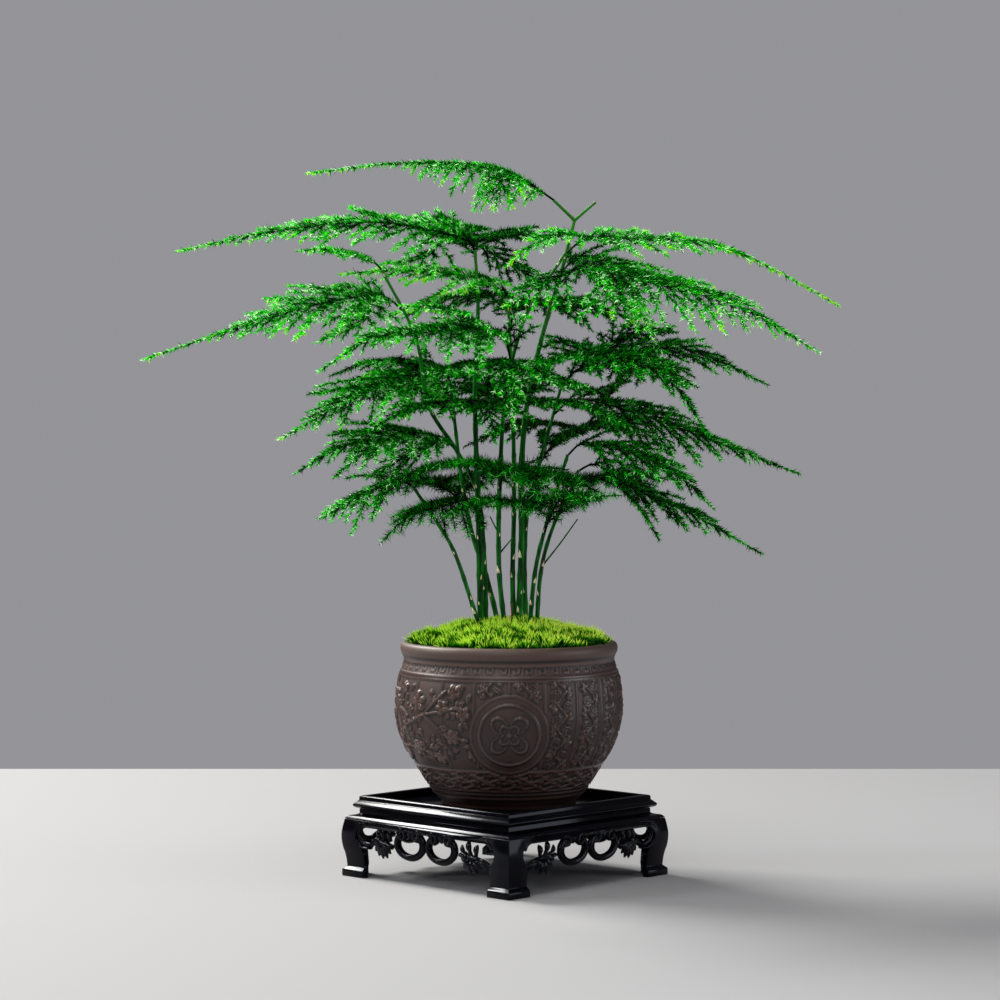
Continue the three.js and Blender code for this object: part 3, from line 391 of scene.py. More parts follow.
def cells(size):
    """Scale of a noise whose cells are that many millimetres across."""
    return 1000.0 / size


# Materials


def new_material(name):
    """An empty material with its node tree and the Object coordinates."""
    material = bpy.data.materials.new(name)
    material.use_nodes = True
    tree = material.node_tree
    tree.nodes.clear()
    return material, tree, node(tree, "ShaderNodeTexCoord").outputs["Object"]


def add_shader(tree, sockets):
    """The material's one Principled shader, with the sockets that differ from its defaults."""
    shader = node(tree, "ShaderNodeBsdfPrincipled", sockets)
    node(tree, "ShaderNodeOutputMaterial", {"Surface": shader})


def lacquer_material():
    """Black lacquer over carved hardwood: the eye sees near black with long soft white reflections."""
    material, tree, place = new_material("black_lacquered_hardwood")
    # brush drag and orange peel of the lacquer
    peel = node(tree, "ShaderNodeTexNoise", {
        "Vector": place, "Scale": cells(3.125), "Detail": 3.0, "Roughness": 0.5})
    # dust and wear
    wear = node(tree, "ShaderNodeTexNoise", {
        "Vector": place, "Scale": cells(11.76), "Detail": 5.0, "Roughness": 0.6})
    add_shader(tree, {
        "Base Color": node(tree, "ShaderNodeValToRGB", {"Fac": wear}, [(0.35, "#020204"), (0.75, "#07070c")]),
        "Roughness": node(tree, "ShaderNodeMapRange", {
            "Value": wear, "From Min": 0.3, "From Max": 0.7, "To Min": 0.13, "To Max": 0.19}),
        "Normal": node(tree, "ShaderNodeBump", {"Height": peel, "Strength": 0.05, "Distance": 0.0004}),
        "Specular IOR Level": 0.13, "Specular Tint": srgb("#e6ebff"),
    })
    return material


def clay_material():
    """Unglazed purple-brown stoneware, burnished by hand: a dark matt body with a soft sheen."""
    material, tree, place = new_material("unglazed_brown_stoneware")
    relief = node(tree, "ShaderNodeAttribute", attribute_name="relief").outputs["Fac"]
    # painted shade in the recesses beside the raised strokes
    cavity = node(tree, "ShaderNodeAttribute", attribute_name="cavity").outputs["Fac"]
    height = node(tree, "ShaderNodeSeparateXYZ", {"Vector": place}).outputs["Z"]
    # sand grains of the clay, drawn as coarse as they need to show
    grain = node(tree, "ShaderNodeTexNoise", {
        "Vector": place, "Scale": cells(0.667), "Detail": 2.0, "Roughness": 0.6})
    # firing clouds
    cloud = node(tree, "ShaderNodeTexNoise", {
        "Vector": place, "Scale": cells(38.5), "Detail": 4.0, "Roughness": 0.55})
    colour = node(tree, "ShaderNodeValToRGB", {"Fac": cloud}, [
        (0.3, "#281612"), (0.5, "#301b16"), (0.72, "#39221c")])
    # paler and greyer towards the shoulder and the rim: painted sheen and painted light from above
    painted_top_sheen = node(tree, "ShaderNodeMapRange", {
        "Value": height, "From Min": 0.105, "From Max": 0.152, "To Min": 0.0, "To Max": 0.6})
    # raised strokes are worn paler, and the recesses beside them are painted dark as shade
    for share, code in ((relief, "#4a332d"), (painted_top_sheen, "#5c4942"), (cavity, "#080403")):
        colour = node(tree, "ShaderNodeMix", {
            "Factor": share, "A": colour, "B": srgb(code)}, data_type="RGBA")
    speck = node(tree, "ShaderNodeMapRange", {
        "Value": grain, "From Min": 0.35, "From Max": 0.7, "To Min": 0.85, "To Max": 1.12})
    add_shader(tree, {
        "Base Color": node(tree, "ShaderNodeVectorMath", {0: colour, "Scale": speck}, operation="SCALE"),
        # the raised strokes are polished by touch, the ground between them stays matt
        "Roughness": node(tree, "ShaderNodeMapRange", {"Value": relief, "To Min": 0.52, "To Max": 0.27}),
        "Normal": node(tree, "ShaderNodeBump", {"Height": grain, "Strength": 0.18, "Distance": 0.0003}),
        "Specular IOR Level": 0.5,
    })
    return material


def soil_material():
    """Peaty potting soil: dark, dry and crumbly."""
    material, tree, place = new_material("potting_soil")
    crumb = node(tree, "ShaderNodeTexNoise", {
        "Vector": place, "Scale": cells(2.38), "Detail": 6.0, "Roughness": 0.7})
    add_shader(tree, {
        "Base Color": node(tree, "ShaderNodeValToRGB", {"Fac": crumb}, [
            (0.3, "#120c08"), (0.55, "#2a1e15"), (0.8, "#4a3a2a")]),
        "Roughness": 0.95,
        "Normal": node(tree, "ShaderNodeBump", {"Height": crumb, "Strength": 0.9, "Distance": 0.002}),
    })
    return material


def moss_material():
    """Living hair moss: fresh yellow-green tips over deep green shade."""
    material, tree, place = new_material("hair_moss")
    shade = node(tree, "ShaderNodeAttribute", attribute_name="shade").outputs["Fac"]
    height = node(tree, "ShaderNodeAttribute", attribute_name="height").outputs["Fac"]
    # patches of drier and fresher growth
    patch = node(tree, "ShaderNodeTexNoise", {"Vector": place, "Scale": cells(18.2), "Detail": 3.0})
    mixed = node(tree, "ShaderNodeMath", {0: shade, 1: patch}, operation="ADD")
    # the blades are painted darker down to their foot, as painted shade deep in the cushion
    tip = node(tree, "ShaderNodeMath", {0: mixed, 1: height}, operation="MULTIPLY")
    add_shader(tree, {
        "Base Color": node(tree, "ShaderNodeValToRGB", {"Fac": tip}, [
            (0.0, "#010800"), (0.26, "#0a3402"), (0.54, "#2c7e02"), (0.8, "#6cc804"), (1.0, "#e2ff5c")]),
        "Roughness": 0.6, "Specular IOR Level": 0.04,
    })
    return material


def stem_material():
    """Smooth waxy stem skin: deep green, with faint lengthwise streaks."""
    material, tree, place = new_material("green_stem_skin")
    # streaks about eight times as long as wide
    drawn_out = node(tree, "ShaderNodeMapping", {"Vector": place, "Scale": (1.0, 1.0, 0.12)})
    streak = node(tree, "ShaderNodeTexNoise", {"Vector": drawn_out, "Scale": cells(2.38), "Detail": 3.0})
    # the skin is younger and yellower towards the top
    young = node(tree, "ShaderNodeMapRange", {
        "Value": node(tree, "ShaderNodeSeparateXYZ", {"Vector": place}).outputs["Z"],
        "From Min": 0.26, "From Max": 0.44, "To Min": 0.0, "To Max": 0.36})
    total = node(tree, "ShaderNodeMath", {0: streak, 1: young}, operation="ADD")
    add_shader(tree, {
        "Base Color": node(tree, "ShaderNodeValToRGB", {"Fac": total}, [
            (0.3, "#001a04"), (0.5, "#004c0a"), (0.68, "#057c14"), (1.0, "#3c6a1e")]),
        "Roughness": 0.38, "Specular IOR Level": 0.14,
    })
    return material


def blotched_material(name, size, stops, roughness):
    """A thin skin whose colour changes in blotches of one size."""
    material, tree, place = new_material(name)
    blotch = node(tree, "ShaderNodeTexNoise", {"Vector": place, "Scale": cells(size), "Detail": 2.0})
    add_shader(tree, {
        "Base Color": node(tree, "ShaderNodeValToRGB", {"Fac": blotch}, stops), "Roughness": roughness})
    return material


def scale_material():
    """Dry papery scale leaves on the nodes: cream, with brown tips."""
    stops = [(0.3, "#d2ba7e"), (0.5, "#f4e9c4"), (0.75, "#fffaea")]
    return blotched_material("papery_scale_leaf", 1.43, stops, 0.7)


def shoot_material():
    """Young shoot skin, still tinged reddish brown."""
    stops = [(0.3, "#4a1210"), (0.6, "#7a2218"), (0.8, "#96503a")]
    return blotched_material("young_shoot_skin", 3.33, stops, 0.5)


def needle_material():
    """Needle-like cladodes: vivid green and yellower at the young tips, with painted light on lit fronds and
    painted shade, deep green, inside the plant.
    """
    material, tree, place = new_material("fern_needles")
    tone = node(tree, "ShaderNodeAttribute", attribute_name="tone").outputs["Fac"]
    shade = node(tree, "ShaderNodeAttribute", attribute_name="shade").outputs["Fac"]
    spread = node(tree, "ShaderNodeMapRange", {"Value": shade, "To Min": -0.28, "To Max": 0.26})
    # whole twigs stand in light or in shade, in clumps
    clump = node(tree, "ShaderNodeTexNoise", {"Vector": place, "Scale": cells(9.09), "Detail": 2.0})
    depth = node(tree, "ShaderNodeMapRange", {
        "Value": clump, "From Min": 0.36, "From Max": 0.64, "To Min": -0.16, "To Max": 0.16})
    mixed = node(tree, "ShaderNodeMath", {0: tone, 1: spread}, operation="ADD")
    total = node(tree, "ShaderNodeMath", {0: mixed, 1: depth}, operation="ADD")
    green = node(tree, "ShaderNodeValToRGB", {"Fac": total}, [
        (0.0, "#000e00"), (0.25, "#004800"), (0.5, "#00ac00"), (0.75, "#2cfa04"), (1.0, "#c4ff00")])
    # one needle in four of the lit twigs has caught the light along its whole back
    pale = node(tree, "ShaderNodeValToRGB", {"Fac": shade}, [(0.73, "#000000"), (0.78, "#ffffff")])
    lit = node(tree, "ShaderNodeMapRange", {
        "Value": total, "From Min": 0.56, "From Max": 0.8, "To Min": 0.0, "To Max": 1.0})
    share = node(tree, "ShaderNodeMath", {0: pale, 1: lit}, operation="MULTIPLY")
    add_shader(tree, {
        "Base Color": node(tree, "ShaderNodeMix", {
            "Factor": share, "A": green, "B": srgb("#dcffd4")}, data_type="RGBA"),
        "Roughness": 0.6, "Specular IOR Level": 0.03,
    })
    return material


def floor_material(colour):
    """Plain pale studio floor."""
    material, tree, _ = new_material("pale_studio_floor")
    add_shader(tree, {"Base Color": colour, "Roughness": 0.8})
    return material


# Mesh helpers


def placed(points):
    """Millimetres from the middle of the stand, as metres in the frame."""
    return np.asarray(points, float) * MM + np.array(SHIFT)


def add_object(name, data):
    """A new object in the scene, at the origin."""
    item = bpy.data.objects.new(name, data)
    bpy.context.scene.collection.objects.link(item)
    return item


def shade_smooth(mesh):
    """Smooth shading on every face."""
    mesh.polygons.foreach_set("use_smooth", [True] * len(mesh.polygons))


def mesh_object(name, points, faces, material=None):
    """A new smooth object from points in metres."""
    mesh = bpy.data.meshes.new(name)
    mesh.from_pydata([tuple(p) for p in points], [], faces)
    mesh.validate()
    mesh.update()
    if material:
        mesh.materials.append(material)
    shade_smooth(mesh)
    return add_object(name, mesh)


def line_object(name, points, edges, attributes):
    """A new object of bare lines from points in millimetres, for a geometry node tree to grow on."""
    mesh = bpy.data.meshes.new(name)
    mesh.from_pydata([tuple(p) for p in placed(points)], edges, [])
    set_attributes(mesh, attributes)
    return add_object(name, mesh)


def set_attributes(mesh, attributes):
    """Stores one number or one vector a point under each name."""
    for name, values in attributes.items():
        values = np.asarray(values, np.float32)
        kind, field = ("FLOAT_VECTOR", "vector") if values.ndim == 2 else ("FLOAT", "value")
        mesh.attributes.new(name, kind, "POINT").data.foreach_set(field, values.reshape(-1))


def finish_piece(item, slot, *nodes):
    """Rides on the one body and stands for its CAD nodes; its slot is not used."""
    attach(item, BODY)
    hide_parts(*nodes)
    return item


def bake_modifiers(item):
    """Turns the evaluated object into a plain mesh and removes its modifiers."""
    view = bpy.context.evaluated_depsgraph_get()
    mesh = bpy.data.meshes.new_from_object(item.evaluated_get(view), depsgraph=view)
    item.modifiers.clear()
    old = item.data
    item.data = mesh
    mesh.name = item.name
    bpy.data.meshes.remove(old)
    return item


# Geometry node trees


def new_tree(name, sockets):
    """A geometry node group with a geometry input, named inputs and a geometry output."""
    tree = bpy.data.node_groups.new(name, "GeometryNodeTree")
    for label, kind in {"Geometry": "Geometry", **sockets}.items():
        tree.interface.new_socket(name=label, in_out="INPUT", socket_type=f"NodeSocket{kind}")
    tree.interface.new_socket(name="Geometry", in_out="OUTPUT", socket_type="NodeSocketGeometry")
    return tree, node(tree, "NodeGroupInput").outputs


def end_tree(tree, parts):
    """Makes every (geometry, material) part real, gives it its material, and joins all."""
    dressed = []
    for geometry, material in parts:
        real = node(tree, "GeometryNodeRealizeInstances", {"Geometry": geometry})
        dressed.append(node(tree, "GeometryNodeSetMaterial", {"Geometry": real, "Material": material}))
    node(tree, "NodeGroupOutput", {
        "Geometry": node(tree, "GeometryNodeJoinGeometry", {"Geometry": dressed})})
    return tree


def run_tree(item, tree, values):
    """Sets a node group's inputs by their identifiers, evaluates it and keeps the plain mesh."""
    modifier = item.modifiers.new(tree.name, "NODES")
    modifier.node_group = tree
    for socket in tree.interface.items_tree:
        if socket.item_type == "SOCKET" and socket.in_out == "INPUT" and socket.name in values:
            modifier[socket.identifier] = values[socket.name]
    item.update_tag()
    return bake_modifiers(item)


def add_rods(tree, geometry, sides):
    """A mesh's lines as curves, the radius along them in metres, and a round rod along each."""
    lines = node(tree, "GeometryNodeMeshToCurve", {"Mesh": geometry})
    thickness = node(tree, "GeometryNodeInputNamedAttribute", {"Name": "thickness"}, data_type="FLOAT")
    radius = node(tree, "ShaderNodeMath", {0: thickness, 1: MM}, operation="MULTIPLY")
    circle = node(tree, "GeometryNodeCurvePrimitiveCircle", {"Resolution": sides, "Radius": 1.0})
    rods = node(tree, "GeometryNodeCurveToMesh", {
        "Curve": lines, "Profile Curve": circle, "Scale": radius, "Fill Caps": True})
    return lines, radius, rods


def add_growth(tree, points, chosen, shape, heading, sizes):
    """One shape on every chosen point, standing along its heading, scaled by its own sizes."""
    turn = node(tree, "FunctionNodeAlignRotationToVector", {"Vector": heading}, axis="Z")
    return node(tree, "GeometryNodeInstanceOnPoints", {
        "Points": points, "Selection": chosen, "Instance": shape, "Rotation": turn, "Scale": sizes})


# A slender cone, one metre long and wide, from which needles, blades and scale leaves are scaled
CONE = {
    "Vertices": 3, "Side Segments": 1, "Fill Segments": 1,
    "Radius Top": 0.0, "Radius Bottom": 0.5, "Depth": 1.0,
}


def needle_tree():
    """Thin twigs along every line, and slender needles in a spiral round them."""
    tree, given = new_tree("Needle sprays", {
        "Needle Spacing": "Float", "Needle Length": "Float", "Needle Width": "Float", "Lean": "Float",
        "Seed": "Int", "Material": "Material",
    })
    seed = given["Seed"]
    lines, _, twigs = add_rods(tree, given["Geometry"], 3)
    spaced = node(tree, "GeometryNodeResampleCurve", {
        "Curve": lines, "Length": given["Needle Spacing"]}, mode="LENGTH")
    # each needle stands a golden angle round the twig from the last, a little astray
    tangent = node(tree, "GeometryNodeInputTangent")
    normal = node(tree, "GeometryNodeInputNormal").outputs["Normal"]
    other = node(tree, "ShaderNodeVectorMath", {0: tangent, 1: normal}, operation="CROSS_PRODUCT")
    astray = node(tree, "FunctionNodeRandomValue", {"Min": -0.6, "Max": 0.6, "Seed": seed}, data_type="FLOAT")
    spiral = node(tree, "ShaderNodeMath", {
        0: node(tree, "GeometryNodeInputIndex"), 1: GOLDEN_ANGLE, 2: astray}, operation="MULTIPLY_ADD")
    # it leans from the twig by about the same angle as the others
    more = node(tree, "FunctionNodeRandomValue", {"Min": -0.22, "Max": 0.22, "Seed": seed}, data_type="FLOAT")
    lean = node(tree, "ShaderNodeMath", {0: given["Lean"], 1: more}, operation="ADD")

    def turned(first, second, angle):
        """Two vectors at right angles, mixed by the cosine and the sine of an angle."""
        cosine = node(tree, "ShaderNodeMath", {0: angle}, operation="COSINE")
        sine = node(tree, "ShaderNodeMath", {0: angle}, operation="SINE")
        ahead = node(tree, "ShaderNodeVectorMath", {0: first, "Scale": cosine}, operation="SCALE")
        aside = node(tree, "ShaderNodeVectorMath", {0: second, "Scale": sine}, operation="SCALE")
        return node(tree, "ShaderNodeVectorMath", {0: ahead, 1: aside}, operation="ADD")

    heading = turned(tangent, turned(normal, other, spiral), lean)
    size = node(tree, "GeometryNodeInputNamedAttribute", {"Name": "size"}, data_type="FLOAT")
    vary = node(tree, "FunctionNodeRandomValue", {"Min": 0.7, "Max": 1.15, "Seed": seed}, data_type="FLOAT")
    length = node(tree, "ShaderNodeMath", {0: given["Needle Length"], 1: size}, operation="MULTIPLY")
    length = node(tree, "ShaderNodeMath", {0: length, 1: vary}, operation="MULTIPLY")
    sizes = node(tree, "ShaderNodeCombineXYZ", {
        "X": given["Needle Width"], "Y": given["Needle Width"], "Z": length})
    # a size of 0 marks the bare foot of a rachis
    leafy = node(tree, "FunctionNodeCompare", {"A": size, "B": 0.5}, operation="GREATER_THAN")
    cone = node(tree, "GeometryNodeMeshCone", CONE, fill_type="NGON")
    needles = add_growth(tree, spaced, leafy, cone, heading, sizes)
    chance = node(tree, "FunctionNodeRandomValue", {"Min": 0.0, "Max": 1.0, "Seed": seed}, data_type="FLOAT")
    tinted = node(tree, "GeometryNodeStoreNamedAttribute", {
        "Geometry": needles, "Name": "shade", "Value": chance}, data_type="FLOAT", domain="INSTANCE")
    return end_tree(tree, [(twigs, given["Material"]), (tinted, given["Material"])])


def stem_tree():
    """A round stem along its line, with a papery scale leaf at every node."""
    tree, given = new_tree("Stem with scale leaves", {
        "Sides": "Int", "Scale Length": "Float", "Scale Width": "Float", "Stem Material": "Material",
        "Scale Material": "Material",
    })
    line, radius, stem = add_rods(tree, given["Geometry"], given["Sides"])
    # each scale leaf faces its own way, sunk a fifth of the radius into the skin
    facing = node(tree, "GeometryNodeInputNamedAttribute", {"Name": "facing"}, data_type="FLOAT_VECTOR")
    inset = node(tree, "ShaderNodeMath", {0: radius, 1: 0.8}, operation="MULTIPLY")
    offset = node(tree, "ShaderNodeVectorMath", {0: facing, "Scale": inset}, operation="SCALE")
    moved = node(tree, "GeometryNodeSetPosition", {"Geometry": line, "Offset": offset})
    aside = node(tree, "ShaderNodeVectorMath", {0: facing, "Scale": 0.3}, operation="SCALE")
    heading = node(tree, "ShaderNodeVectorMath", {
        0: node(tree, "GeometryNodeInputTangent"), 1: aside}, operation="ADD")
    size = node(tree, "GeometryNodeInputNamedAttribute", {"Name": "leaf_size"}, data_type="FLOAT")
    chosen = node(tree, "FunctionNodeCompare", {"A": size, "B": 0.1}, operation="GREATER_THAN")
    full = node(tree, "ShaderNodeCombineXYZ", {
        "X": given["Scale Width"], "Y": given["Scale Width"], "Z": given["Scale Length"]})
    sizes = node(tree, "ShaderNodeVectorMath", {0: full, "Scale": size}, operation="SCALE")
    cone = node(tree, "GeometryNodeMeshCone", {**CONE, "Vertices": 6, "Side Segments": 2}, fill_type="NGON")
    scales = add_growth(tree, moved, chosen, cone, heading, sizes)
    return end_tree(tree, [(stem, given["Stem Material"]), (scales, given["Scale Material"])])


def moss_tree():
    """Fine blades over the cushion, leaning together in small tufts."""
    tree, given = new_tree("Moss blades", {
        "Density": "Float", "Blade Length": "Float", "Blade Width": "Float", "Tufts per Metre": "Float",
        "Splay": "Float", "Seed": "Int", "Material": "Material",
    })
    seed = given["Seed"]
    top = node(tree, "GeometryNodeInputNamedAttribute", {"Name": "top"}, data_type="FLOAT")
    is_top = node(tree, "FunctionNodeCompare", {"A": top, "B": 0.5}, operation="GREATER_THAN")
    spots = node(tree, "GeometryNodeDistributePointsOnFaces", {
        "Mesh": given["Geometry"], "Selection": is_top, "Density": given["Density"], "Seed": seed})
    # the blades of a tuft spread from its middle, where they are longest
    place = node(tree, "GeometryNodeInputPosition")
    tuft = node(tree, "ShaderNodeTexVoronoi", {
        "Vector": place, "Scale": given["Tufts per Metre"], "Randomness": 1.0}).outputs["Position"]
    from_middle = node(tree, "ShaderNodeVectorMath", {0: place, 1: tuft}, operation="SUBTRACT")
    flat = node(tree, "ShaderNodeVectorMath", {0: from_middle, 1: (1.0, 1.0, 0.0)}, operation="MULTIPLY")
    far = node(tree, "ShaderNodeVectorMath", {0: flat}, operation="LENGTH")
    spread = node(tree, "ShaderNodeVectorMath", {0: flat, "Scale": given["Splay"]}, operation="SCALE")
    stray = node(tree, "FunctionNodeRandomValue", {
        "Min": (-0.6, -0.6, 0.0), "Max": (0.6, 0.6, 0.5), "Seed": seed}, data_type="FLOAT_VECTOR")
    lean = node(tree, "ShaderNodeVectorMath", {0: spread, 1: stray}, operation="ADD")
    heading = node(tree, "ShaderNodeVectorMath", {0: spots.outputs["Normal"], 1: lean}, operation="ADD")
    vary = node(tree, "FunctionNodeRandomValue", {"Min": 0.6, "Max": 1.15, "Seed": seed}, data_type="FLOAT")
    fullness = node(tree, "ShaderNodeMapRange", {
        "Value": far, "From Min": 0.001, "From Max": 0.008, "To Min": 1.15, "To Max": 0.55})
    length = node(tree, "ShaderNodeMath", {0: given["Blade Length"], 1: vary}, operation="MULTIPLY")
    length = node(tree, "ShaderNodeMath", {0: length, 1: fullness}, operation="MULTIPLY")
    sizes = node(tree, "ShaderNodeCombineXYZ", {
        "X": given["Blade Width"], "Y": given["Blade Width"], "Z": length})
    # a blade keeps its own height, from 0 at its foot to 1 at its tip
    cone = node(tree, "GeometryNodeMeshCone", CONE, fill_type="NGON")
    high = node(tree, "ShaderNodeSeparateXYZ", {"Vector": node(tree, "GeometryNodeInputPosition")})
    blade = node(tree, "GeometryNodeStoreNamedAttribute", {
        "Geometry": cone, "Name": "height", "Value": high.outputs["Z"]}, data_type="FLOAT", domain="POINT")
    blades = add_growth(tree, spots, True, blade, heading, sizes)
    # blades between two tufts stand in shade
    chance = node(tree, "FunctionNodeRandomValue", {"Min": 0.0, "Max": 1.55, "Seed": seed}, data_type="FLOAT")
    bright = node(tree, "ShaderNodeMapRange", {
        "Value": far, "From Min": 0.0012, "From Max": 0.0065, "To Min": 1.35, "To Max": 0.1})
    tone = node(tree, "ShaderNodeMath", {0: chance, 1: bright}, operation="MULTIPLY")
    tinted = node(tree, "GeometryNodeStoreNamedAttribute", {
        "Geometry": blades, "Name": "shade", "Value": tone}, data_type="FLOAT", domain="INSTANCE")
    return end_tree(tree, [(given["Geometry"], given["Material"]), (tinted, given["Material"])])


# Paths of stems and fronds


def smooth_path(points, count):
    """Evenly spaced points on the centripetal Catmull-Rom curve through the given ones."""
    given = [np.asarray(p, float) for p in points]
    ends = [2 * given[0] - given[1], *given, 2 * given[-1] - given[-2]]
    dense = []
    for i in range(1, len(ends) - 2):
        a, b, c, d = ends[i - 1:i + 3]
        ab, bc, cd = (max(np.linalg.norm(q - p) ** 0.5, 1e-4) for p, q in ((a, b), (b, c), (c, d)))
        start = ((b - a) / ab - (c - a) / (ab + bc) + (c - b) / bc) * bc
        end = ((c - b) / bc - (d - b) / (bc + cd) + (d - c) / cd) * bc
        square, cube = 3 * (c - b) - 2 * start - end, 2 * (b - c) + start + end
        for t in np.linspace(0, 1, 24, endpoint=False):
            dense.append(b + start * t + square * t ** 2 + cube * t ** 3)
    dense = np.array([*dense, given[-1]])
    reach = np.concatenate([[0], np.cumsum(np.linalg.norm(np.diff(dense, axis=0), axis=1))])
    spaced = np.linspace(0, reach[-1], count)
    return np.stack([np.interp(spaced, reach, dense[:, k]) for k in range(3)], 1)


def path_length(points):
    return float(np.linalg.norm(np.diff(points, axis=0), axis=1).sum())


def unit(vector):
    return vector / max(np.linalg.norm(vector), 1e-9)


def stem_path(path, count=160):
    """From the bottom of a stem's hole in the soil to its top."""
    x, y, z = path[0]
    return smooth_path([(x, y, STEM_FOOT), (x, y, (STEM_FOOT + z) / 2), *path], count)


def stem_leaves(line, every, front_leaves):
    """Size and facing of a stem's scale leaves by point: those in front, then one at each higher node."""
    leaves = {}
    for k, (height, size) in enumerate(front_leaves):
        spot = int(np.argmin(np.abs(line[:, 2] - height)))
        angle = math.radians(-90 + (25 if k % 2 else -25))
        leaves[spot] = (size, (math.cos(angle), math.sin(angle), 0.0))
    for spot in range(0, len(line) - 2, every):
        if line[spot][2] > UPPER_NODES:
            angle = GOLDEN_ANGLE * spot / every
            leaves[spot] = (0.6, (math.cos(angle), math.sin(angle), 0.0))
    return leaves


def rachis_path(frond, count):
    """The frond's middle line, starting on the skin of its stem."""
    stem_name, height, path = frond[:3]
    if stem_name == "stem_upright" and height >= FORK_TOP:
        return smooth_path([FORK_ARMS[0][1], *path], count)
    first = np.array(path[0], float)
    stem_points, _, top_radius = STEMS[stem_name]
    line = stem_path(stem_points, 400)
    place = min(np.searchsorted(line[:, 2], height), len(line) - 1)
    ahead = unit(line[place] - line[place - 4])
    start = line[place] + unit(first - line[place]) * top_radius * 0.6
    bend = start + unit(ahead + unit(first - start)) * 0.3 * np.linalg.norm(first - start)
    return smooth_path([start, bend, *path], count)


# Fronds


class Twigs:
    """Collects the lines of one frond, with the radius, tone and needle size along each."""

    def __init__(self):
        self.points = []
        self.edges = []
        self.values = {"thickness": [], "tone": [], "size": []}

    def add(self, line, **given):
        """Adds a line, with each value as a (start, end) pair or as one number a point."""
        first, count = len(self.points), len(line)
        self.points.extend(line)
        self.edges.extend((first + i, first + i + 1) for i in range(count - 1))
        for name, values in given.items():
            self.values[name].extend(values if len(values) == count else np.linspace(*values, count))


def bent_line(root, direction, length, droop, count):
    """A side spray's middle line, bending down as it runs out."""
    share = np.linspace(0, 1, count)[:, None]
    line = root + direction * length * share
    line[:, 2] -= droop * length * share[:, 0] ** 2
    return line


def spray_reach(share, longest, tail):
    """Length of a side spray at a share of the rachis; beyond the tail's share only short ones stay."""
    rise = min(max((share + 0.02) / 0.12, 0), 1)
    fall = min(max((tail - share) / (tail * 0.68), 0), 1)
    return longest * rise * fall ** 1.25 + 2.2


def add_short_twigs(twigs, root, direction, up, reach, droop, tones, gap, chance):
    """The short twigs on both sides of a long spray, the longest of them near its root."""
    across = unit(np.cross(direction, up))
    count = int((reach - 6) / gap)
    for k in range(count):
        along = (k + 0.7) / (count + 1)
        start = bent_line(root, direction, reach * along, droop * along, 2)[1]
        hand = 1 if k % 2 else -1
        turn = math.radians(38 + chance.uniform(-8, 8))
        heading = direction * math.cos(turn) + across * hand * math.sin(turn) + up * chance.uniform(-0.2, 0.2)
        length = (0.13 * reach * (1 - along) ** 0.8 + 2.2) * chance.uniform(0.8, 1.2)
        tone = tones[0] + (tones[1] - tones[0]) * along
        twigs.add(
            bent_line(start, unit(heading), length, droop, 2),
            thickness=(0.5, 0.3), tone=(tone - 0.05, tone + 0.06), size=(0.85, 0.68))


def add_spray_row(twigs, path, longest, shape, tones, bare, gaps, chance):
    """One rachis with its side sprays, and the short twigs along the longer sprays."""
    tilt, droop, tail = shape
    root_tone, tip_tone = tones
    spray_gap, twig_gap = gaps
    length = path_length(path(60))
    steps = max(5, round(length / spray_gap))
    spine = path(2 * steps + 1)
    bare_share = bare / length
    far = np.linspace(0, 1, len(spine))
    twigs.add(
        spine, thickness=(0.85, 0.35), tone=(root_tone - 0.1, tip_tone),
        size=np.where(far < bare_share, 0.0, 1.0 - 0.4 * far))
    tan_tilt = math.tan(math.radians(tilt))
    wave = chance.uniform(0, 2 * math.pi)
    for i in range(2 * steps - 1):
        share = (i + 0.5) / (2 * steps)
        if share < bare_share:
            continue
        sign = 1 if i % 2 else -1
        tangent = unit(spine[i + 1] - spine[i])
        side = np.cross(tangent, (0, 0, 1))
        side = unit(np.array([side[0], side[1], side[1] * tan_tilt]))
        up = unit(np.cross(side, tangent))
        # sprays sweep forward more towards the end of the rachis
        sweep = math.radians(40 + 24 * share + chance.uniform(-6, 6))
        direction = side * sign * math.cos(sweep) + tangent * math.sin(sweep) + up * chance.uniform(-0.1, 0.1)
        direction = unit(direction)
        uneven = 0.9 + 0.16 * math.sin(wave + 1.05 * i) + chance.uniform(-0.1, 0.12)
        reach = spray_reach(share, longest, tail) * uneven
        root = (spine[i] + spine[i + 1]) / 2
        tip = root_tone + (tip_tone - root_tone) * (0.75 + 0.4 * share) + chance.uniform(-0.07, 0.07)
        twigs.add(
            bent_line(root, direction, reach, droop, max(3, round(reach / 5))),
            thickness=(0.8, 0.35), tone=(root_tone - 0.05, tip), size=(0.95, 0.68))
        if reach >= 13:
            add_short_twigs(twigs, root, direction, up, reach, droop, (root_tone, tip), twig_gap, chance)


def frond_twigs(name, gaps, seed):
    """All twigs of one frond: its own row of sprays and the rows of its side branches."""
    frond = FRONDS[name]
    longest, tilt, droop, tones = frond[3:]
    chance = random.Random(seed)
    twigs = Twigs()
    bare = min(7.0, 0.07 * path_length(rachis_path(frond, 60)))
    shape = (tilt, droop, LONG_TAILS.get(name, SHORT_TAIL))
    add_spray_row(twigs, lambda count: rachis_path(frond, count), longest, shape, tones, bare, gaps, chance)
    shape = (tilt, droop, SHORT_TAIL)
    for share, points, longest in BRANCHES.get(name, []):
        line = [rachis_path(frond, 101)[round(share * 100)], *points]
        add_spray_row(twigs, lambda count: smooth_path(line, count), longest, shape, tones, 3.0, gaps, chance)
    return twigs


# Pot ornament, in millimetres. Each field says how far a motif stands proud, from 0 to 1.


def edge_step(distance, width):
    """1 inside a stroke of the given width, falling softly to 0 at its edge."""
    return np.clip((width / 2 - np.abs(distance)) / (width * 0.3), 0, 1)


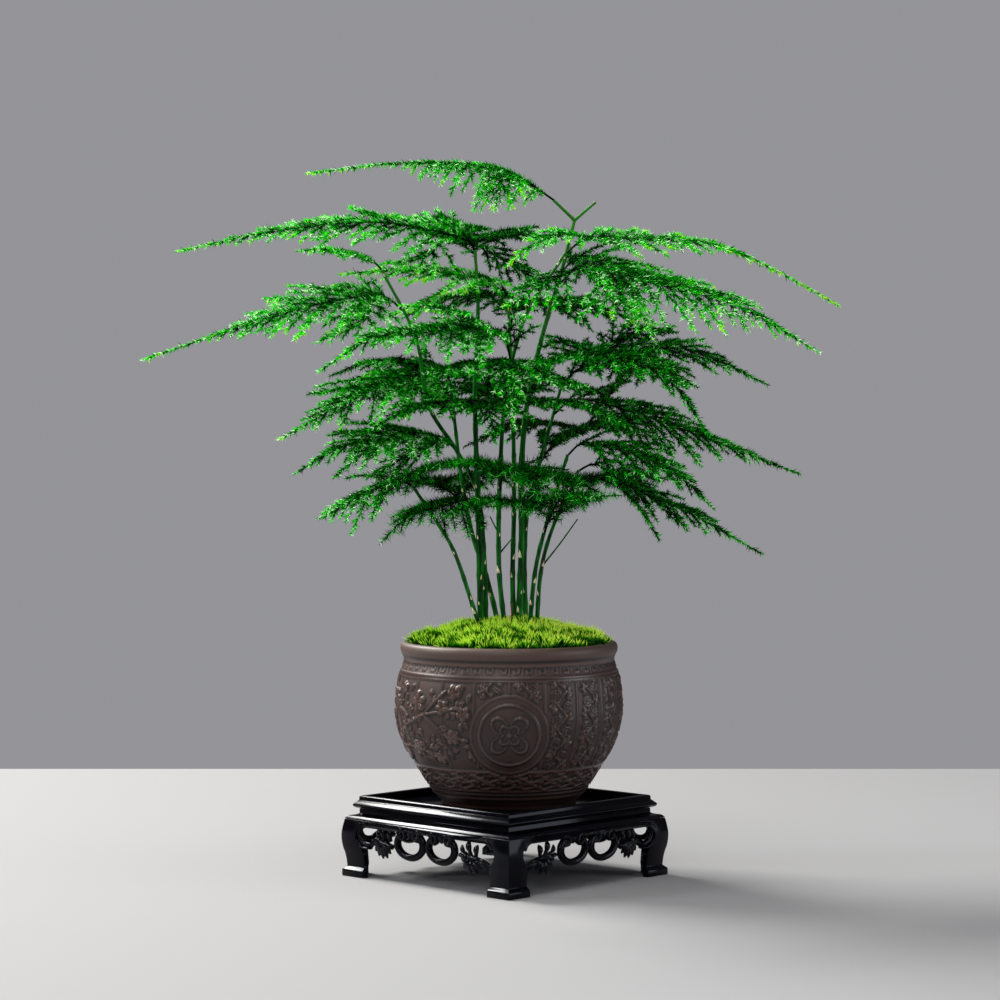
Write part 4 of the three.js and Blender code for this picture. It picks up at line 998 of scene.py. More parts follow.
def segment_field(x, y, lines, width):
    """Raised strokes along straight lines, each (x0, y0, x1, y1)."""
    field = np.zeros_like(x)
    for x0, y0, x1, y1 in lines:
        dx, dy = x1 - x0, y1 - y0
        share = np.clip(((x - x0) * dx + (y - y0) * dy) / (dx * dx + dy * dy + 1e-9), 0, 1)
        field = np.maximum(field, edge_step(np.hypot(x - x0 - share * dx, y - y0 - share * dy), width))
    return field


def leaf_field(x, y, cx, cy, angle, length, width):
    """A pointed leaf with a sunk midrib."""
    c, s = math.cos(angle), math.sin(angle)
    along = ((x - cx) * c + (y - cy) * s) / length
    across = (-(x - cx) * s + (y - cy) * c) / width
    inside = (along > 0) & (along < 1)
    half = np.where(inside, np.sin(np.clip(along, 0, 1) * math.pi) ** 0.8, 0)
    body = np.clip((half - np.abs(across) * 2) * 3, 0, 1)
    return body * np.where(np.abs(across) < 0.09, 0.45, 1.0)


def blossom_field(x, y, cx, cy, radius, turn):
    """A five-petalled blossom with a raised heart."""
    reach = np.hypot(x - cx, y - cy)
    angle = np.arctan2(y - cy, x - cx) + turn
    lobe = np.abs(np.cos(2.5 * angle))
    petals = np.clip((radius * (0.62 + 0.38 * lobe ** 0.6) - reach) / (0.16 * radius), 0, 1)
    return np.maximum(petals * (0.35 + 0.65 * lobe ** 0.5), edge_step(reach, 0.45 * radius))


def curl_field(x, y, cx, cy, radius, turn, hand):
    """A cloud curl: one spiral stroke."""
    reach = np.hypot(x - cx, y - cy)
    angle = hand * np.arctan2(y - cy, x - cx) + turn
    pitch = radius * 0.42
    arm = ((reach / pitch - angle / (2 * math.pi)) % 1.0 - 0.5) * pitch
    return edge_step(arm, pitch * 0.62) * (reach < radius)


def meander_lines(w, h):
    """One unit of a key fret, of the given width and height."""
    return [
        (0, 0, 0, h), (0, h, 0.75 * w, h), (0.75 * w, h, 0.75 * w, 0.3 * h),
        (0.75 * w, 0.3 * h, 0.35 * w, 0.3 * h), (0.35 * w, 0.3 * h, 0.35 * w, 0.65 * h), (0, 0, w, 0),
    ]


def fret_field(turn, z):
    """Key fret under the neck."""
    unit_angle = 2 * math.pi / FRET_UNITS
    width = unit_angle * FRET_RADIUS
    local = (turn % unit_angle) / unit_angle * width
    band = (z > FRET_BAND[0]) & (z < FRET_BAND[1])
    return segment_field(local, z - FRET_FOOT, meander_lines(width, FRET_HIGH), 0.95) * band


def add_waves(proud, turn, z, radius):
    """Rolling waves round the foot, with small curls riding on them."""
    wave_angle = 2 * math.pi / WAVES
    for row, height in enumerate(WAVE_LINES):
        swell = 0.75 * np.sin(WAVES * turn + 2.1 * row) + 0.35 * np.sin(11 * turn + row)
        proud = np.maximum(proud, 0.9 * edge_step(z - height - swell, 1.5))
    for row, (height, size) in enumerate(WAVE_CURLS):
        x = (((turn + row * wave_angle / 2) % wave_angle) / wave_angle - 0.5) * wave_angle * radius
        curl = curl_field(x, z, 0, height, size, row * 1.4, 1)
        proud = np.where(np.hypot(x, z - height) < size, curl, proud)
    return proud


def vine_field(x, z, chance):
    """A climbing vine up a column: leaves on the outside of its bends, curls in their hollows."""
    phase = chance.uniform(0, 2) * VINE_BEND
    hand = chance.choice((-1, 1))
    vine = edge_step(x - hand * 3.0 * np.sin((z - phase) * math.pi / VINE_BEND), 1.9)
    for k in range(-1, 8):
        middle = FIELD[0] + 1.0 + phase % VINE_BEND + VINE_BEND * (k + 0.5)
        side = hand * (1 if round((middle - phase) / VINE_BEND - 0.5) % 2 == 0 else -1)
        vine = np.maximum(vine, curl_field(x, z, -side * 3.6, middle, 3.7, chance.uniform(0, 6.28), side))
        for lean, length in ((0.9, 7.0), (0.1, 6.2), (-0.8, 5.4)):
            angle = lean if side > 0 else math.pi - lean
            leaf = leaf_field(x, z, side * 3.2, middle, angle, length, 3.2)
            vine = np.maximum(vine, leaf * chance.uniform(0.7, 1.0))
    return vine


def spray_field(x, y, chance):
    """A blossoming spray: branches, blossoms, and leaves strewn between them."""
    field = segment_field(x, y, SPRAY_BRANCHES, 2.0)
    for cx, cy, size in SPRAY_BLOSSOMS:
        field = np.maximum(field, blossom_field(x, y, cx, cy, size, cx * 0.7))
    for _ in range(SPRAY_LEAVES):
        cx, cy = chance.uniform(-47, 43), chance.uniform(-27, 25)
        leaf = leaf_field(x, y, cx, cy, chance.uniform(0, 6.28), chance.uniform(5, 9), 3.2)
        field = np.maximum(field, leaf * chance.uniform(0.6, 1.0))
    return field


def add_medallion(proud, x, z, reach):
    """A round medallion: two rings round a knot of petals."""
    ring = np.maximum(0.5 * edge_step(reach - 25.5, 1.9), edge_step(reach - 19.8, 1.8))
    proud = np.maximum(np.where(reach < MEDALLION_EDGE, 0.0, proud), ring)
    petal = np.abs(np.sin(2 * np.arctan2(z - MEDALLION_Z, x)))
    outer = edge_step(reach - 14.6 * petal ** 0.7, 1.9)
    inner = edge_step(reach - 7.4 * (0.4 + 0.6 * petal), 1.6)
    knot = np.maximum(np.maximum(outer, inner), edge_step(reach, 4.0))
    return np.where(reach < 17.0, np.maximum(proud, 1.1 * knot), proud)


def pot_relief(turn, z, radius):
    """Height of the ornament over the whole wall, in millimetres, by angle from the front and height."""
    proud = np.zeros_like(turn)
    for height, width in RINGS:
        proud = np.maximum(proud, 0.85 * edge_step(z - height, width * 1.5))
    proud = np.maximum(proud, 0.65 * fret_field(turn, z))
    proud = add_waves(proud, turn, z, radius)
    # the medallions stand front and back, clear of the fields' ornament
    medal_x = np.where(np.abs(turn) < math.pi / 2, turn, turn - np.sign(turn) * math.pi) * radius
    medal_reach = np.hypot(medal_x, z - MEDALLION_Z)
    ground = (z > FIELD[0]) & (z < FIELD[1]) & (medal_reach > MEDALLION_EDGE)
    # ruled columns
    column = np.floor(turn / COLUMN_ANGLE)
    inner = (turn / COLUMN_ANGLE - column - 0.5) * COLUMN_ANGLE * radius
    rule = edge_step(COLUMN_ANGLE * radius / 2 - np.abs(inner), 1.5)
    proud = np.maximum(proud, 0.8 * rule * ground)
    chance = random.Random(11)
    wide = np.any([np.abs(turn - centre) < 2 * COLUMN_ANGLE for centre, _ in SPRAYS], axis=0)
    for index in range(-COLUMNS // 2, COLUMNS // 2):
        here = ground & (column == index) & ~wide
        proud = np.maximum(proud, 1.25 * vine_field(inner, z, chance) * here)
    for centre, flip in SPRAYS:
        x = ((turn - centre + math.pi) % (2 * math.pi) - math.pi) * radius * flip
        here = ground & (np.abs(x) < 1.95 * COLUMN_ANGLE * radius)
        proud = np.maximum(proud, 1.7 * spray_field(x, z - SPRAY_Z, chance) * here)
    return add_medallion(proud, medal_x, z, medal_reach)


def pot_mesh(around, wall_rows, material):
    """The pot turned round its axis, with its ornament raised from the wall."""
    foot_radius, foot_z = POT_WALL[0]
    wall = smooth_path([(r, 0, h) for r, h in POT_WALL], 200)
    wall_z = np.linspace(POT_WALL[1][1], POT_WALL[-1][1], wall_rows)
    wall_radius = np.interp(wall_z, wall[:, 2], wall[:, 0])
    lip = smooth_path([(r, 0, h) for r, h in [*POT_RIM, POT_MOUTH[0]]], 16)
    # each row has a radius, a height, and 1 where the wall is carved
    rows = np.array([
        (DRAIN_RADIUS, foot_z, 0), (foot_radius - 3, foot_z, 0), (foot_radius, foot_z, 0),
        *((r, h, 1) for r, h in zip(wall_radius, wall_z)),
        *((r, h, 0) for r, _, h in lip),
        *((r, h, 0) for r, h in POT_MOUTH[1:]),
        (DRAIN_RADIUS, POT_MOUTH[-1][1], 0),
    ])
    angles = np.arange(around) / around * 2 * math.pi - math.pi
    turn = np.tile(angles, (len(rows), 1))
    radius, z, carved = (np.repeat(rows[:, k:k + 1], around, 1) for k in range(3))
    relief = np.where(carved > 0, pot_relief(turn, z, radius), 0)
    radius = radius + relief - 0.5 * carved
    points = np.stack([POT_CENTRE_X + radius * np.sin(turn), -radius * np.cos(turn), z], -1)
    spot = np.arange(relief.size).reshape(relief.shape)
    beside = np.roll(spot, -1, 1)
    faces = np.stack([spot, beside, np.roll(beside, -1, 0), np.roll(spot, -1, 0)], -1).reshape(-1, 4)
    item = mesh_object("clay_pot", placed(points.reshape(-1, 3)), faces.tolist(), material)
    # painted shade in the recesses: a cavity lies lower than the mean of the five by five points round it
    near = sum(np.roll(relief, (up, side), (0, 1)) for up in range(-2, 3) for side in range(-2, 3)) / 25
    cavity = np.clip((near - relief) * 3.6, 0, 0.95)
    set_attributes(item.data, {"relief": relief.reshape(-1), "cavity": cavity.reshape(-1)})
    return item


# Moss cushion


def moss_height(x, y, reach, angle):
    """Height of the cushion in millimetres: a dome with mounds, and with waves and lumps off its middle."""
    dome = MOSS_CROWN * (1 - reach ** 1.7)
    mounds = sum(
        high * math.exp(-((x - mx) ** 2 + (y - my) ** 2) / wide ** 2) for mx, my, high, wide in MOUNDS)
    waves = math.sin(5 * angle + 7 * reach) * math.cos(9 * reach - 3 * angle) + 0.6 * math.sin(11 * angle)
    lumps = 0.9 * math.sin(17 * angle + 3 * reach) * math.sin(21 * reach + 2 * angle)
    return MOSS_EDGE_TOP - 2.0 + dome + mounds + (0.9 * waves + 1.7 * lumps) * reach ** 0.5


def moss_mesh(rings, sectors):
    """The closed cushion from its bottom edge up and in to its middle, with the part that grows marked."""
    rows, top = [], []
    levels = [(0.98, MOSS_BOTTOM), (1.0, MOSS_EDGE_TOP - 4), *((1 - i / rings, None) for i in range(rings))]
    for reach, level in levels:
        row = []
        for k in range(sectors):
            angle = 2 * math.pi * k / sectors
            x, y = MOSS_RADIUS * reach * math.cos(angle), MOSS_RADIUS * reach * math.sin(angle)
            row.append((POT_CENTRE_X + x, y, level or moss_height(x, y, reach, angle)))
        rows.append(row)
        top += [float(level is None and reach < MOSS_GROWN)] * sectors
    points, faces = loft_rings(rows)
    item = mesh_object("moss_cushion", placed(points), faces)
    # the ground between the blades is as high as the foot of a blade and painted as dark, as shade under the
    # blades
    set_attributes(item.data, {"top": top, "height": [0.35] * len(top), "shade": [0.2] * len(top)})
    return item


# Stand


def loft_rings(rings, closed=False):
    """Points and faces of a skin over rings of equal length, capped at both ends unless it is closed."""
    count = len(rings[0])
    points = [p for ring in rings for p in ring]
    faces = []
    for i in range(len(rings) if closed else len(rings) - 1):
        k = (i + 1) % len(rings)
        for j in range(count):
            n = (j + 1) % count
            faces.append((i * count + j, i * count + n, k * count + n, k * count + j))
    if not closed:
        faces.append(tuple(reversed(range(count))))
        last = (len(rings) - 1) * count
        faces.append(tuple(last + j for j in range(count)))
    return points, faces


def stand_place(part, quarter):
    """Turns a part of the stand's front side by quarters, then to the stand's own heading."""
    points, faces = part
    turn = Matrix.Rotation(STAND_YAW + quarter * math.pi / 2, 3, "Z")
    return np.array([tuple(turn @ Vector(p)) for p in points]), faces


def joined_object(name, parts, material):
    """One mesh from several (points, faces) parts in millimetres, with normals outwards."""
    points, faces = [], []
    for part_points, part_faces in parts:
        first = len(points)
        points.extend(part_points)
        faces.extend(tuple(first + k for k in face) for face in part_faces)
    item = mesh_object(name, placed(points), faces, material)
    work = bmesh.new()
    work.from_mesh(item.data)
    bmesh.ops.recalc_face_normals(work, faces=work.faces)
    work.to_mesh(item.data)
    work.free()
    return item


def soften(item, width, segments=2):
    """Rounds the edges a little, as sanded and lacquered wood has them."""
    bevel = item.modifiers.new("Bevel", "BEVEL")
    bevel.width = width * MM
    bevel.segments = segments
    bevel.limit_method = "ANGLE"
    bevel.angle_limit = math.radians(30)
    bevel.harden_normals = False
    return bake_modifiers(item)


def square(half, z):
    """The corners of a level square, anticlockwise from the positive one."""
    return [(half, half, z), (-half, half, z), (-half, -half, z), (half, -half, z)]


def mitred_ring(profile):
    """A square frame with mitred corners, from (half side, height) pairs."""
    corners = zip(*(square(half, z) for half, z in profile))
    return loft_rings([list(corner) for corner in corners], closed=True)


def rail_profile():
    """Thumb-moulded rail with a raised lip round the tray."""
    moulding = [
        (-3.2, 0), (-1.7, 0.3), (-0.6, 0.9), (0, 1.9), (-0.1, 2.6), (-0.5, 3.1), (-2.5, 5.0), (-2.9, 5.2),
    ]
    return [
        (RIM_INNER, RAIL_BOTTOM), *((RAIL_HALF + out, RAIL_BOTTOM + up) for out, up in moulding),
        (RIM_HALF, RAIL_BOTTOM + 5.8), (RIM_HALF, RIM_TOP - 0.8), (RIM_HALF - 0.8, RIM_TOP),
        (RIM_INNER + 0.4, RIM_TOP), (RIM_INNER, RIM_TOP - 0.4),
    ]


def waist_profile():
    """Waist board above a sloping ledge, with a gap of 0.3 mm to the legs and to the rails."""
    bottom = LEG_TOP + 0.3
    top = RAIL_BOTTOM - 0.3
    return [
        (RIM_INNER, bottom), (LEDGE_HALF - 0.3, bottom), (LEDGE_HALF, bottom + 0.2),
        (LEDGE_HALF - 0.1, bottom + 0.4), (LEDGE_HALF - 1.8, bottom + 1.9), (WAIST_HALF + 1.4, bottom + 2.6),
        (WAIST_HALF + 0.4, bottom + 3.1), (WAIST_HALF, bottom + 3.6), (WAIST_HALF, top), (RIM_INNER, top),
    ]


def leg_part():
    """L-section leg at the corner of the side that faces it: a block foot, then a curved shank."""
    levels = np.array(LEG_LEVELS, float)
    shank = LEG_LEVELS[2:]
    body = smooth_path([(half, 0, z) for z, half, _, _ in shank], 80)
    width = smooth_path([(face, 0, z) for z, _, face, _ in shank], 80)
    rings = []
    for z in [0, 0.5, 4.2, 4.6, 5.6, LEG_FOOT_TOP, *np.linspace(8, 37.4, 18), LEG_TOP]:
        if z < LEG_FOOT_TOP:
            # the sole is drawn in a little
            half = np.interp(z, levels[:, 0], levels[:, 1]) - (0.4 if z == 0 else 0)
            face = np.interp(z, levels[:, 0], levels[:, 2])
        else:
            half = np.interp(z, body[:, 2], body[:, 0])
            face = np.interp(z, width[:, 2], width[:, 0])
        inner = half - np.interp(z, levels[:, 0], levels[:, 3])
        rings.append([
            (half, half, z), (half - face, half, z), (half - face, inner, z),
            (inner, inner, z), (inner, half - face, z), (half, half - face, z),
        ])
    return loft_rings(rings)


def sweep_part(line, radii, flat, sides=6):
    """A rounded bar along (x, z) points in the apron's plane; flat is half its size through the apron."""
    line = np.array(line, float)
    rings = []
    for (x, z), tangent, radius in zip(line, np.gradient(line, axis=0), radii):
        ahead_x, ahead_z = unit(tangent)
        turns = [2 * math.pi * k / sides for k in range(sides)]
        rings.append([
            (x - ahead_z * radius * math.cos(a), flat * math.sin(a), z + ahead_x * radius * math.cos(a))
            for a in turns
        ])
    return loft_rings(rings)


def curved_part(side, points, thick, flat, count):
    """A bar on a smooth curve through (x, z) points of one half of an apron."""
    line = smooth_path([(side * x, 0, z) for x, z in points], count)
    return sweep_part(line[:, [0, 2]], np.linspace(*thick, count), flat)


def half_turn(degrees, side):
    """An angle of the right half of an apron in radians, mirrored on its left half."""
    return math.radians(degrees if side > 0 else 180 - degrees)


def petal_part(cx, cz, angle, length, width, lift):
    """A plump carved petal or leaf, pointing the given way from its root."""
    rows, sides = 6, 6
    rings = []
    for i in range(rows + 1):
        share = i / rows
        half = width / 2 * max(math.sin(math.pi * min(share * 0.92 + 0.04, 1)) ** 0.7, 0.05)
        along = length * share
        ring = []
        for k in range(sides):
            turn = 2 * math.pi * k / sides
            u = half * math.cos(turn)
            ring.append((
                cx + along * math.cos(angle) - u * math.sin(angle),
                -lift * math.sin(math.pi * share) * 0.5 + 1.5 * half / width * math.sin(turn) * 1.6,
                cz + along * math.sin(angle) + u * math.cos(angle),
            ))
        rings.append(ring)
    return loft_rings(rings)


def scroll_parts(side):
    """A ring whose two ends roll in under the band, with a groove round it and a drop between the ends."""
    cx = side * SCROLL_X
    turns = np.linspace(math.radians(130), math.radians(410), 34)
    parts = []
    for rx, rz, radius, flat in ((12.3, 8.5, 2.3, 2.0), (10.8, 7.0, 0.8, 2.6)):
        ring = [(cx + rx * math.cos(a), SCROLL_Z + rz * math.sin(a)) for a in turns]
        parts.append(sweep_part(ring, [radius] * len(ring), flat, 8))
    for hand in (-1, 1):
        curl = []
        for share in np.linspace(0, 1, 18):
            turn = math.radians(90 - hand * 60 + hand * 400 * share)
            reach = 4.4 * (1 - 0.72 * share)
            curl.append((cx + hand * 7.2 + reach * math.cos(turn), 31.8 + reach * math.sin(turn)))
        parts.append(sweep_part(curl, np.linspace(1.9, 1.2, 18), 2.5))
    parts.append(petal_part(cx, 37.0, math.radians(-90), 7.4, 5.6, 1.6))
    return parts


def bud_parts(side):
    """Three buds over a tuft of leaves, and a three-lobed leaf that lies towards the leg."""
    parts = []
    for x, z, turn, length, width in (
        (39.9, 26.4, 93, 8.0, 5.6), (45.4, 25.2, 76, 7.2, 5.2), (35.6, 25.6, 118, 6.0, 4.4),
    ):
        parts.append(petal_part(side * x, z, half_turn(turn, side), length, width, 2.4))
        stem = [(42.4, 22.6), (x + 0.6 * (42.4 - x), 24.0), (x, z), (x, z + 1.2)]
        parts.append(sweep_part([(side * sx, sz) for sx, sz in stem], [1.5, 1.3, 1.3, 1.0], 1.6))
    for turn, length in ((192, 9.4), (222, 9.6), (252, 10.0), (284, 9.6), (316, 9.0)):
        angle = half_turn(turn, side)
        root_x, root_z = side * 42.6 + 1.5 * math.cos(angle), 24.0 + 1.5 * math.sin(angle)
        parts.append(petal_part(root_x, root_z, angle, length, 6.4, 1.8))
    for turn, length in ((-35, 12.0), (-24, 14.5), (-13, 11.0)):
        parts.append(petal_part(side * 47.0, 23.4, half_turn(turn, side), length, 3.4, 1.8))
    parts.append(curved_part(side, [(31, 24.5), (36, 23), (42, 23.6), (48, 23.2)], (1.6, 1.2), 1.8, 10))
    parts.append(curved_part(side, [(54, 35.4), (58.6, 33.4), (60.8, 30.4)], (2.0, 2.6), 2.0, 8))
    return parts


def leaf_parts(side):
    """A lobed leaf under three small buds, and a half ring that joins its stalk to the leg."""
    parts = []
    for turn, length in ((-24, 10.4), (-46, 11.4), (-67, 12.2), (-87, 12.8), (-106, 12.6), (-126, 11.0)):
        parts.append(petal_part(side * 39.0, 27.4, half_turn(turn, side), length, 5.8, 2.2))
    for x, z, turn, length, width in (
        (44.0, 26.0, 100, 9.0, 4.6), (38.4, 26.4, 82, 9.4, 4.6), (33.4, 26.0, 96, 9.6, 4.4),
    ):
        parts.append(petal_part(side * x, z, half_turn(turn, side), length, width, 2.0))
    parts.append(curved_part(side, [(31, 23), (38, 24.6), (46, 25.4), (52, 22.4)], (2.0, 1.8), 2.2, 12))
    outer = [(55.4, 36.0), (60.4, 33.6), (62.4, 29.6), (60.6, 25.8), (56.6, 23.2), (50.0, 22.8)]
    inner = [(58.8, 36.2), (63.6, 33.4), (65.2, 29.0), (63.4, 24.6), (58.4, 20.6), (52.0, 20.2)]
    parts.append(curved_part(side, outer, (1.9, 1.9), 2.2, 18))
    parts.append(curved_part(side, inner, (0.9, 0.9), 2.7, 18))
    return parts


def apron_parts(quarter):
    """Pierced carving: a plain band and two scrolls, buds towards one corner and a leaf towards the next."""
    half = APRON_THICK / 2
    parts = [loft_rings([
        [(-49.8, y, LEG_TOP), (-59.2, y, APRON_BAND), (59.2, y, APRON_BAND), (49.8, y, LEG_TOP)]
        for y in (-half, half)
    ])]
    bud_side = -1 if quarter % 2 == 0 else 1
    for side in (-1, 1):
        parts += scroll_parts(side)
        parts += bud_parts(side) if side == bud_side else leaf_parts(side)
    # the parts are made round y = 0 and move into the apron's thickness
    return [([(x, y + half - APRON_OUTER, z) for x, y, z in points], faces) for points, faces in parts]


# Settings


class FernSettings(bpy.types.PropertyGroup):
    needle_length: bpy.props.FloatProperty(
        name="Needle length", description="Length of one needle", default=0.0047, unit="LENGTH")
    needle_width: bpy.props.FloatProperty(
        name="Needle width", description="Width of a needle at its root, coarser than life so that it shows",
        default=0.001, unit="LENGTH")
    needle_spacing: bpy.props.FloatProperty(
        name="Needle spacing", description="Distance between needles along a twig", default=0.00046,
        unit="LENGTH")
    needle_lean: bpy.props.FloatProperty(
        name="Needle lean", description="Angle between a needle and its twig", default=math.radians(44),
        subtype="ANGLE")
    wispy: bpy.props.FloatProperty(
        name="Wispiness", description="How much longer and thinner the needles deep in the plant are",
        default=1.0)
    spray_gap: bpy.props.FloatProperty(
        name="Spray gap", description="Distance between side sprays on one side of a rachis", default=0.0086,
        unit="LENGTH")
    twig_gap: bpy.props.FloatProperty(
        name="Twig gap", description="Distance between the short twigs of a side spray", default=0.0042,
        unit="LENGTH")


class StemSettings(bpy.types.PropertyGroup):
    sides: bpy.props.IntProperty(name="Sides", description="Faces round a stem", default=14, min=6)
    node_gap: bpy.props.FloatProperty(
        name="Node gap", description="Distance between the scale leaves on a stem", default=0.019,
        unit="LENGTH")
    scale_length: bpy.props.FloatProperty(
        name="Scale length", description="Length of a scale leaf", default=0.0046, unit="LENGTH")
    scale_width: bpy.props.FloatProperty(
        name="Scale width", description="Width of a scale leaf at its root", default=0.0021, unit="LENGTH")


class MossSettings(bpy.types.PropertyGroup):
    density: bpy.props.FloatProperty(
        name="Blades per square metre", description="How densely the moss grows", default=9.5e5)
    blade_length: bpy.props.FloatProperty(
        name="Blade length", description="Length of the longest blades", default=0.0063, unit="LENGTH")
    blade_width: bpy.props.FloatProperty(
        name="Blade width", description="Width of a blade at its root", default=0.0014, unit="LENGTH")
    tufts: bpy.props.FloatProperty(
        name="Tufts per metre", description="How close the tufts stand", default=90.0)
    splay: bpy.props.FloatProperty(
        name="Splay", description="Lean of the blades for each metre from the middle of their tuft",
        default=150.0)


class PotSettings(bpy.types.PropertyGroup):
    around: bpy.props.IntProperty(name="Facets round", description="Mesh columns round the pot", default=660)
    rows: bpy.props.IntProperty(name="Wall rows", description="Mesh rows up the ornamented wall", default=116)


class StandSettings(bpy.types.PropertyGroup):
    edge: bpy.props.FloatProperty(
        name="Leg edge rounding", description="Radius of the legs' sanded edges", default=0.0006,
        unit="LENGTH")


class StageSettings(bpy.types.PropertyGroup):
    floor: bpy.props.FloatVectorProperty(
        name="Floor", description="Colour of the plain floor", default=srgb("#949498"), size=4,
        subtype="COLOR")
    backdrop: bpy.props.FloatVectorProperty(
        name="Backdrop", description="Colour of the surroundings", default=srgb("#a4a4a9"), size=4,
        subtype="COLOR")
    focal_length: bpy.props.FloatProperty(
        name="Focal length", description="Lens of the camera in millimetres", default=111.2)


# Stage: soft key and window from the left, soft fills from the front and the right, and a top light.
# Each has its place in metres, its width and height, its power in watts and its colour.
LIGHTS = {
    "key": ((-1.80, 1.33, 2.20), 1.4, 0.9, 180.0, "#fffdf5"),
    "window": ((-2.55, -0.3, 1.25), 0.5, 0.5, 24.0, "#ffffff"),
    "fill": ((-0.5, -2.1, 1.4), 1.4, 1.4, 17.0, "#ffffff"),
    "right": ((1.8, -0.5, 0.4), 1.0, 1.0, 11.0, "#f6f8ff"),
    "top": ((-0.2, -0.4, 1.7), 1.0, 1.0, 15.0, "#fffdf5"),
}
LIGHTS_AIM = Vector((0, 0, 0.25))
# The camera's place in millimetres and its slope, as the photograph was taken
CAMERA_PLACE = (-3.4, -2047.0, 311.0)
CAMERA_SLOPE = 0.03
# The floor's half width, and how far it reaches to the front and to the back, in metres
FLOOR_HALF, FLOOR_FRONT, FLOOR_BACK = 2.0, -3.0, 0.6


def studio_world(colour):
    """Plain surroundings that look paler to the camera than they shine on the plant."""
    world = bpy.data.worlds.new("studio")
    world.use_nodes = True
    tree = world.node_tree
    tree.nodes.clear()
    seen = node(tree, "ShaderNodeLightPath").outputs["Is Camera Ray"]
    strength = node(tree, "ShaderNodeMapRange", {"Value": seen, "To Min": 0.24, "To Max": 0.8})
    background = node(tree, "ShaderNodeBackground", {"Color": colour, "Strength": strength})
    node(tree, "ShaderNodeOutputWorld", {"Surface": background})
    return world


def add_light(name, place, wide, high, power, colour):
    """A rectangle of soft light, aimed at the plant."""
    light = bpy.data.lights.new(name, "AREA")
    light.shape = "RECTANGLE"
    light.size = wide
    light.size_y = high
    light.energy = power
    light.color = srgb(colour)[:3]
    lamp = add_object(name, light)
    lamp.location = place
    lamp.rotation_euler = (LIGHTS_AIM - Vector(place)).to_track_quat("-Z", "Y").to_euler()


# Operators


class LACEFERN_OT_stage(bpy.types.Operator):
    """Makes the floor, the soft lights and the camera"""
    bl_idname = "lacefern.stage"
    bl_label = "Stage"

    def execute(self, context):
        settings = context.scene.lacefern_stage
        scene = context.scene
        floor = mesh_object("floor", [
            (-FLOOR_HALF, FLOOR_FRONT, 0), (FLOOR_HALF, FLOOR_FRONT, 0), (FLOOR_HALF, FLOOR_BACK, 0),
            (-FLOOR_HALF, FLOOR_BACK, 0),
        ], [(0, 1, 2, 3)], floor_material(tuple(settings.floor)))
        scene.world = studio_world(tuple(settings.backdrop))
        for name, light in LIGHTS.items():
            add_light(name, *light)
        lens = bpy.data.cameras.new("camera")
        lens.lens = settings.focal_length
        lens.sensor_width = 36.0
        lens.clip_end = 50.0
        camera = add_object("camera", lens)
        camera.location = placed(CAMERA_PLACE)
        camera.rotation_euler = (math.pi / 2 - CAMERA_SLOPE, 0, 0)
        scene.camera = camera
        scene.view_settings.view_transform = "Standard"
        return {"FINISHED"}


class LACEFERN_OT_stand(bpy.types.Operator):
    """Makes the lacquered stand: frame, waist, tray, legs and pierced aprons"""
    bl_idname = "lacefern.stand"
    bl_label = "Stand"

    def execute(self, context):
        edge = context.scene.lacefern_stand.edge / MM
        lacquer = lacquer_material()
        panel = loft_rings([square(RIM_INNER - 0.2, z) for z in (RAIL_BOTTOM, PANEL_TOP)])
        for name, part, rounding, nodes in (
            ("frame_rails", mitred_ring(rail_profile()), RAIL_EDGE, [f"rail_{s}" for s in STAND_SIDES]),
            ("waist_and_ledge", mitred_ring(waist_profile()), RAIL_EDGE, [f"waist_{s}" for s in STAND_SIDES]),
            ("tray_panel", panel, PANEL_EDGE, ["panel"]),
        ):
            piece = joined_object(name, [stand_place(part, 0)], lacquer)
            finish_piece(soften(piece, rounding), "stand_lacquer", *nodes)
        for i, (side, corner) in enumerate(zip(STAND_SIDES, STAND_CORNERS)):
            leg = joined_object(f"cabriole_leg_{corner}", [stand_place(leg_part(), i)], lacquer)
            finish_piece(soften(leg, edge, 3), "stand_lacquer", f"leg_{corner}")
            parts = [stand_place(part, i) for part in apron_parts(i)]
            apron = joined_object(f"carved_apron_{side}", parts, lacquer)
            finish_piece(apron, "stand_lacquer", f"apron_{side}")
        return {"FINISHED"}


class LACEFERN_OT_pot(bpy.types.Operator):
    """Makes the clay pot with its raised ornament"""
    bl_idname = "lacefern.pot"
    bl_label = "Pot"

    def execute(self, context):
        settings = context.scene.lacefern_pot
        pot = pot_mesh(settings.around, settings.rows, clay_material())
        finish_piece(pot, "pot_clay", "pot")
        return {"FINISHED"}


class LACEFERN_OT_moss(bpy.types.Operator):
    """Makes the moss cushion and finishes the soil"""
    bl_idname = "lacefern.moss"
    bl_label = "Moss and soil"

    def execute(self, context):
        settings = context.scene.lacefern_moss
        soil = bpy.data.objects["soil"]
        soil.data.materials.clear()
        soil.data.materials.append(soil_material())
        moss = run_tree(moss_mesh(22, 96), moss_tree(), {
            "Density": settings.density, "Blade Length": settings.blade_length,
            "Blade Width": settings.blade_width, "Tufts per Metre": settings.tufts, "Splay": settings.splay,
            "Seed": 5, "Material": moss_material(),
        })
        finish_piece(moss, "moss", "moss")
        return {"FINISHED"}


